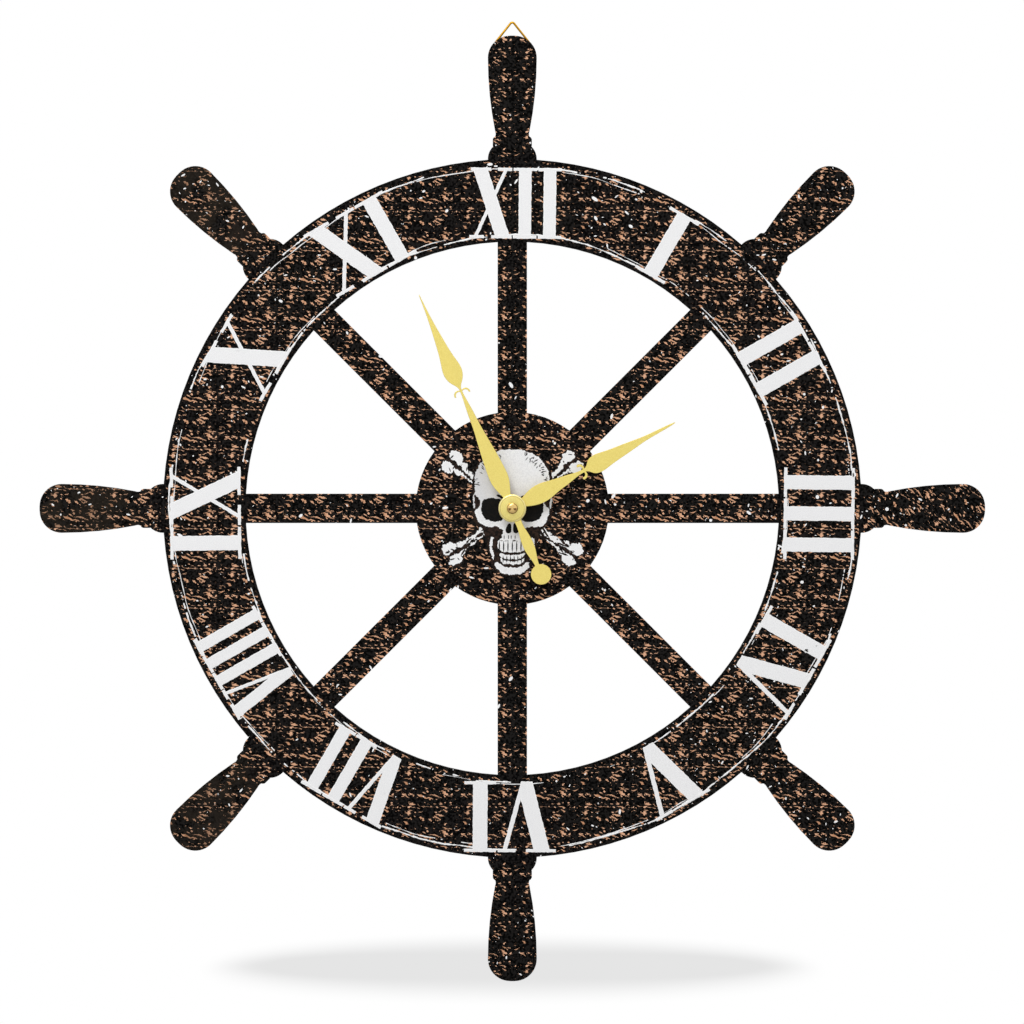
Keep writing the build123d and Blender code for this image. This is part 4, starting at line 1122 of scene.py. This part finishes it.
case_black = plastic("case_black", "1B1C1E", "121314", roughness=0.46, depth=0.03 * mm)
knob_white = plastic("knob_white", "EDEAE0", "DCD8CC", roughness=0.4)
acetal = plastic("acetal", "EFEEE6", "E2E0D4", grain=0.3 * mm, roughness=0.36, subsurface_weight=0.15,
                 subsurface_radius=(1 * mm, 1 * mm, 0.8 * mm))
acetal_dark = plastic("acetal_dark", "35373B", "27292C", grain=0.3 * mm, roughness=0.38)
rubber = plastic("rubber", "18181A", "0F0F10", grain=0.4 * mm, roughness=0.8)
rounded("setting_knob", 0.15 * mm, knob_white)
dress(case_black, "front_cover", "rear_case")
dress(acetal_dark, "middle_plate", "hour_wheel")
dress(acetal, "intermediate_wheel", "centre_wheel", "third_wheel", "seconds_wheel", "fifth_wheel", "rotor",
      "coil_bobbin", "minute_arbor")
dress(rubber, "rubber_gasket")

# %% [markdown]
# ## Marks on the case
# The back of the case has small grey marks beside what they explain: plus and minus at the two ends of
# the battery, and a bent arrow by the knob for the way in which the hands are set. They are a pad print,
# so thin that the back still lies flat on the wall.

# %% Printed marks
mark_height = 0.02 * mm
mark_stroke = 0.9 * mm
mark_size = 3.6 * mm
arrow_radius = 8.6 * mm


def bar(x, z, length, angle):
    """A straight stroke about its middle."""
    turn = Matrix.Rotation(angle, 2)
    return [tuple(Vector((x, z)) + turn @ Vector((u * length / 2, v * mark_stroke / 2))) for u, v in square]


def bent_arrow(x, z, radius, start, end, steps=24):
    """An arc with an arrow head at its end, as one loop."""
    def at(reach, angle):
        return (x + reach * math.cos(angle), z + reach * math.sin(angle))

    angles = [start + (end - start) * step / steps for step in range(steps + 1)]
    outer = [at(radius + mark_stroke / 2, angle) for angle in angles]
    inner = [at(radius - mark_stroke / 2, angle) for angle in reversed(angles)]
    past = end + math.copysign(mark_stroke * 2.2 / radius, end - start)
    head = [at(radius + mark_stroke * 1.3, end), at(radius, past), at(radius - mark_stroke * 1.3, end)]
    return outer + head + inner


knob_low, knob_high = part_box("setting_knob")
knob = (knob_low + knob_high) / 2
cell_low, cell_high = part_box("battery_cell")
mark_z = cell_high.z + mark_size
plus_x, minus_x = cell_low.x + mark_size * 1.2, cell_high.x - mark_size * 1.2
marks = [bar(plus_x, mark_z, mark_size, 0), bar(plus_x, mark_z, mark_size, math.pi / 2),
         bar(minus_x, mark_z, mark_size, 0), bent_arrow(knob.x, knob.z, arrow_radius, 2.5, 0.6)]
sheets = [filled(mark, -mark_height, mark_height) for mark in marks]
joined("case_marks", [(sheets, plastic("mark_grey", "8A8C90", "7E8084"))])

# %% [markdown]
# ## Battery
# An alkaline cell in a printed shrink jacket: dark blue-grey with a pale band at the positive end. Its
# two end faces and the nub are bare nickel-plated steel.

# %% Battery
def cell_finish():
    finish = Finish("cell_jacket", coat_weight=0.4, coat_roughness=0.15)
    x, _, _ = finish.split(finish.place)
    bare = (x < cell_low.x + 1.6 * mm).maths("MAXIMUM", x > cell_high.x - 0.5 * mm)
    band = (x < cell_low.x + 15 * mm) * (1 - bare)
    jacket = finish.mix(band, finish.mix(finish.noise(4 * mm), "2C3D52", "25344A"), "C9CDD0")
    finish.paint(bare, jacket, finish.mix(finish.noise(0.5 * mm, detail=3.0), "D4D3CE", "B4B3AE"))
    finish.set("Metallic", bare)
    finish.set("Roughness", 0.34 + 0.1 * (finish.noise(2 * mm) - 0.5))
    finish.bump(finish.noise(6 * mm), 0.03 * mm, 0.3)
    return finish.material


rounded("battery_cell", 0.2 * mm, cell_finish(), steepness=30)

# %% [markdown]
# ## Metal parts of the movement
# The neck, washer and nut that clamp the movement to the board are turned brass, with fine lines round
# the axis. The motor's plates are bare stamped iron, its magnet is grey ferrite, the coil shows its
# copper turns, and the contacts and the crystal's can are nickel-plated.

# %% Turned and stamped metal
def turned_brass():
    """Brass turned on a lathe: fine lines run round the hand axis."""
    finish = Finish("turned_brass", metallic=1.0)
    x, y, z = finish.split(finish.place)
    lines = finish.noise(0.12 * mm, at=finish.combine(X=hypotenuse(x, z), Y=y))
    finish.paint(lines, "D9B35C", "B98F3E")
    finish.set("Roughness", 0.3 + 0.15 * (lines - 0.5))
    finish.bump(lines, 0.01 * mm, 0.5)
    return finish.material


def wound_copper():
    """Fine wire in close turns along the coil, with painted shade in the grooves between turns and paler
    crowns as a painted highlight.
    """
    finish = Finish("wound_copper", metallic=0.9, roughness=0.35)
    x, _, z = finish.split(finish.place)
    turns = (x * (math.tau / (0.28 * mm)) + z * 60).maths("SINE") * 0.5 + 0.5
    # Painted shade and highlight: each groove is dark and each crown of wire pale, following the bump.
    finish.paint(turns, "7A3D1E", "C9773F")
    finish.bump(turns, 0.06 * mm, 0.8)
    return finish.material


def circuit_finish():
    """Green lacquer over copper tracks, which show as paler lines."""
    finish = Finish("circuit_green", coat_weight=0.3)
    x, _, _ = finish.split(finish.place)
    tracks = (x / (1.3 * mm) + finish.noise(7 * mm, detail=0.0) * 9).maths("PINGPONG", 0.5)
    tracks = finish.smooth_step(tracks, 0.30, 0.36) * finish.smooth_step(finish.noise(5 * mm), 0.45, 0.5)
    finish.paint(tracks, finish.mix(finish.noise(0.5 * mm), "1D5B36", "184D2E"), "4C8C5A")
    finish.set("Roughness", 0.3 + 0.2 * finish.noise(1.5 * mm))
    finish.bump(tracks, 0.03 * mm, 0.6)
    return finish.material


brass = turned_brass()
nickel = metal("nickel", "D2D0CA", "B7B5AF", 0.4 * mm, 0.3, (3, 1, 1))
iron = metal("stamped_iron", "A5A5A3", "868684", 0.3 * mm, 0.42, (3, 1, 1))
ferrite = plastic("ferrite", "3A3A3C", "2B2B2D", grain=0.15 * mm, roughness=0.55, depth=0.03 * mm)
epoxy = plastic("epoxy", "141414", "0B0B0B", grain=1.2 * mm, roughness=0.25, depth=0.05 * mm)
rounded("hex_nut", 0.18 * mm, brass, steepness=25)
rounded("brass_washer", 0.12 * mm, brass)
rounded("hour_collet", 0.08 * mm, brass)
rounded("minute_collet", 0.08 * mm, brass)
dress(brass, "threaded_bushing")
dress(nickel, "contact_positive", "contact_negative", "quartz_can")
dress(iron, "stator", "coil_core")
dress(ferrite, "rotor_magnet")
dress(wound_copper(), "coil_winding")
dress(circuit_finish(), "circuit_board")
dress(epoxy, "chip_blob")

# %% [markdown]
# ## Screw thread
# The brass neck carries a fine thread for its whole length in front of the case. A spiral curve with a
# small three-sided profile makes its crest, half sunk in the neck.

# %% The thread recipe
def thread_recipe():
    recipe = Recipe("thread", "radius", "pitch", "length", "crest", "start")
    given = recipe.given
    spiral = recipe.node("GeometryNodeCurveSpiral", {
        "Resolution": 28, "Rotations": given["length"] / given["pitch"], "Start Radius": given["radius"],
        "End Radius": given["radius"], "Height": given["length"]})
    return recipe.close_upright(recipe.wire(spiral, 3, given["crest"]), given["start"])


thread_pitch = 0.75 * mm
crest = thread_pitch * 0.3
neck_low, neck_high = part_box("threaded_bushing")
neck_radius = (neck_high.x - neck_low.x) / 2
thread_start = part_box("front_cover")[0].y - crest
thread_length = thread_start - crest - neck_low.y
thread = thread_recipe().run(bpy.data.meshes.new("thread"), radius=neck_radius - crest * 0.55,
                             pitch=thread_pitch, length=thread_length, crest=crest, start=thread_start,
                             material=brass)
new_piece("bushing_thread", thread, "frame")
print("thread:", round(thread_length / thread_pitch, 1), "turns")
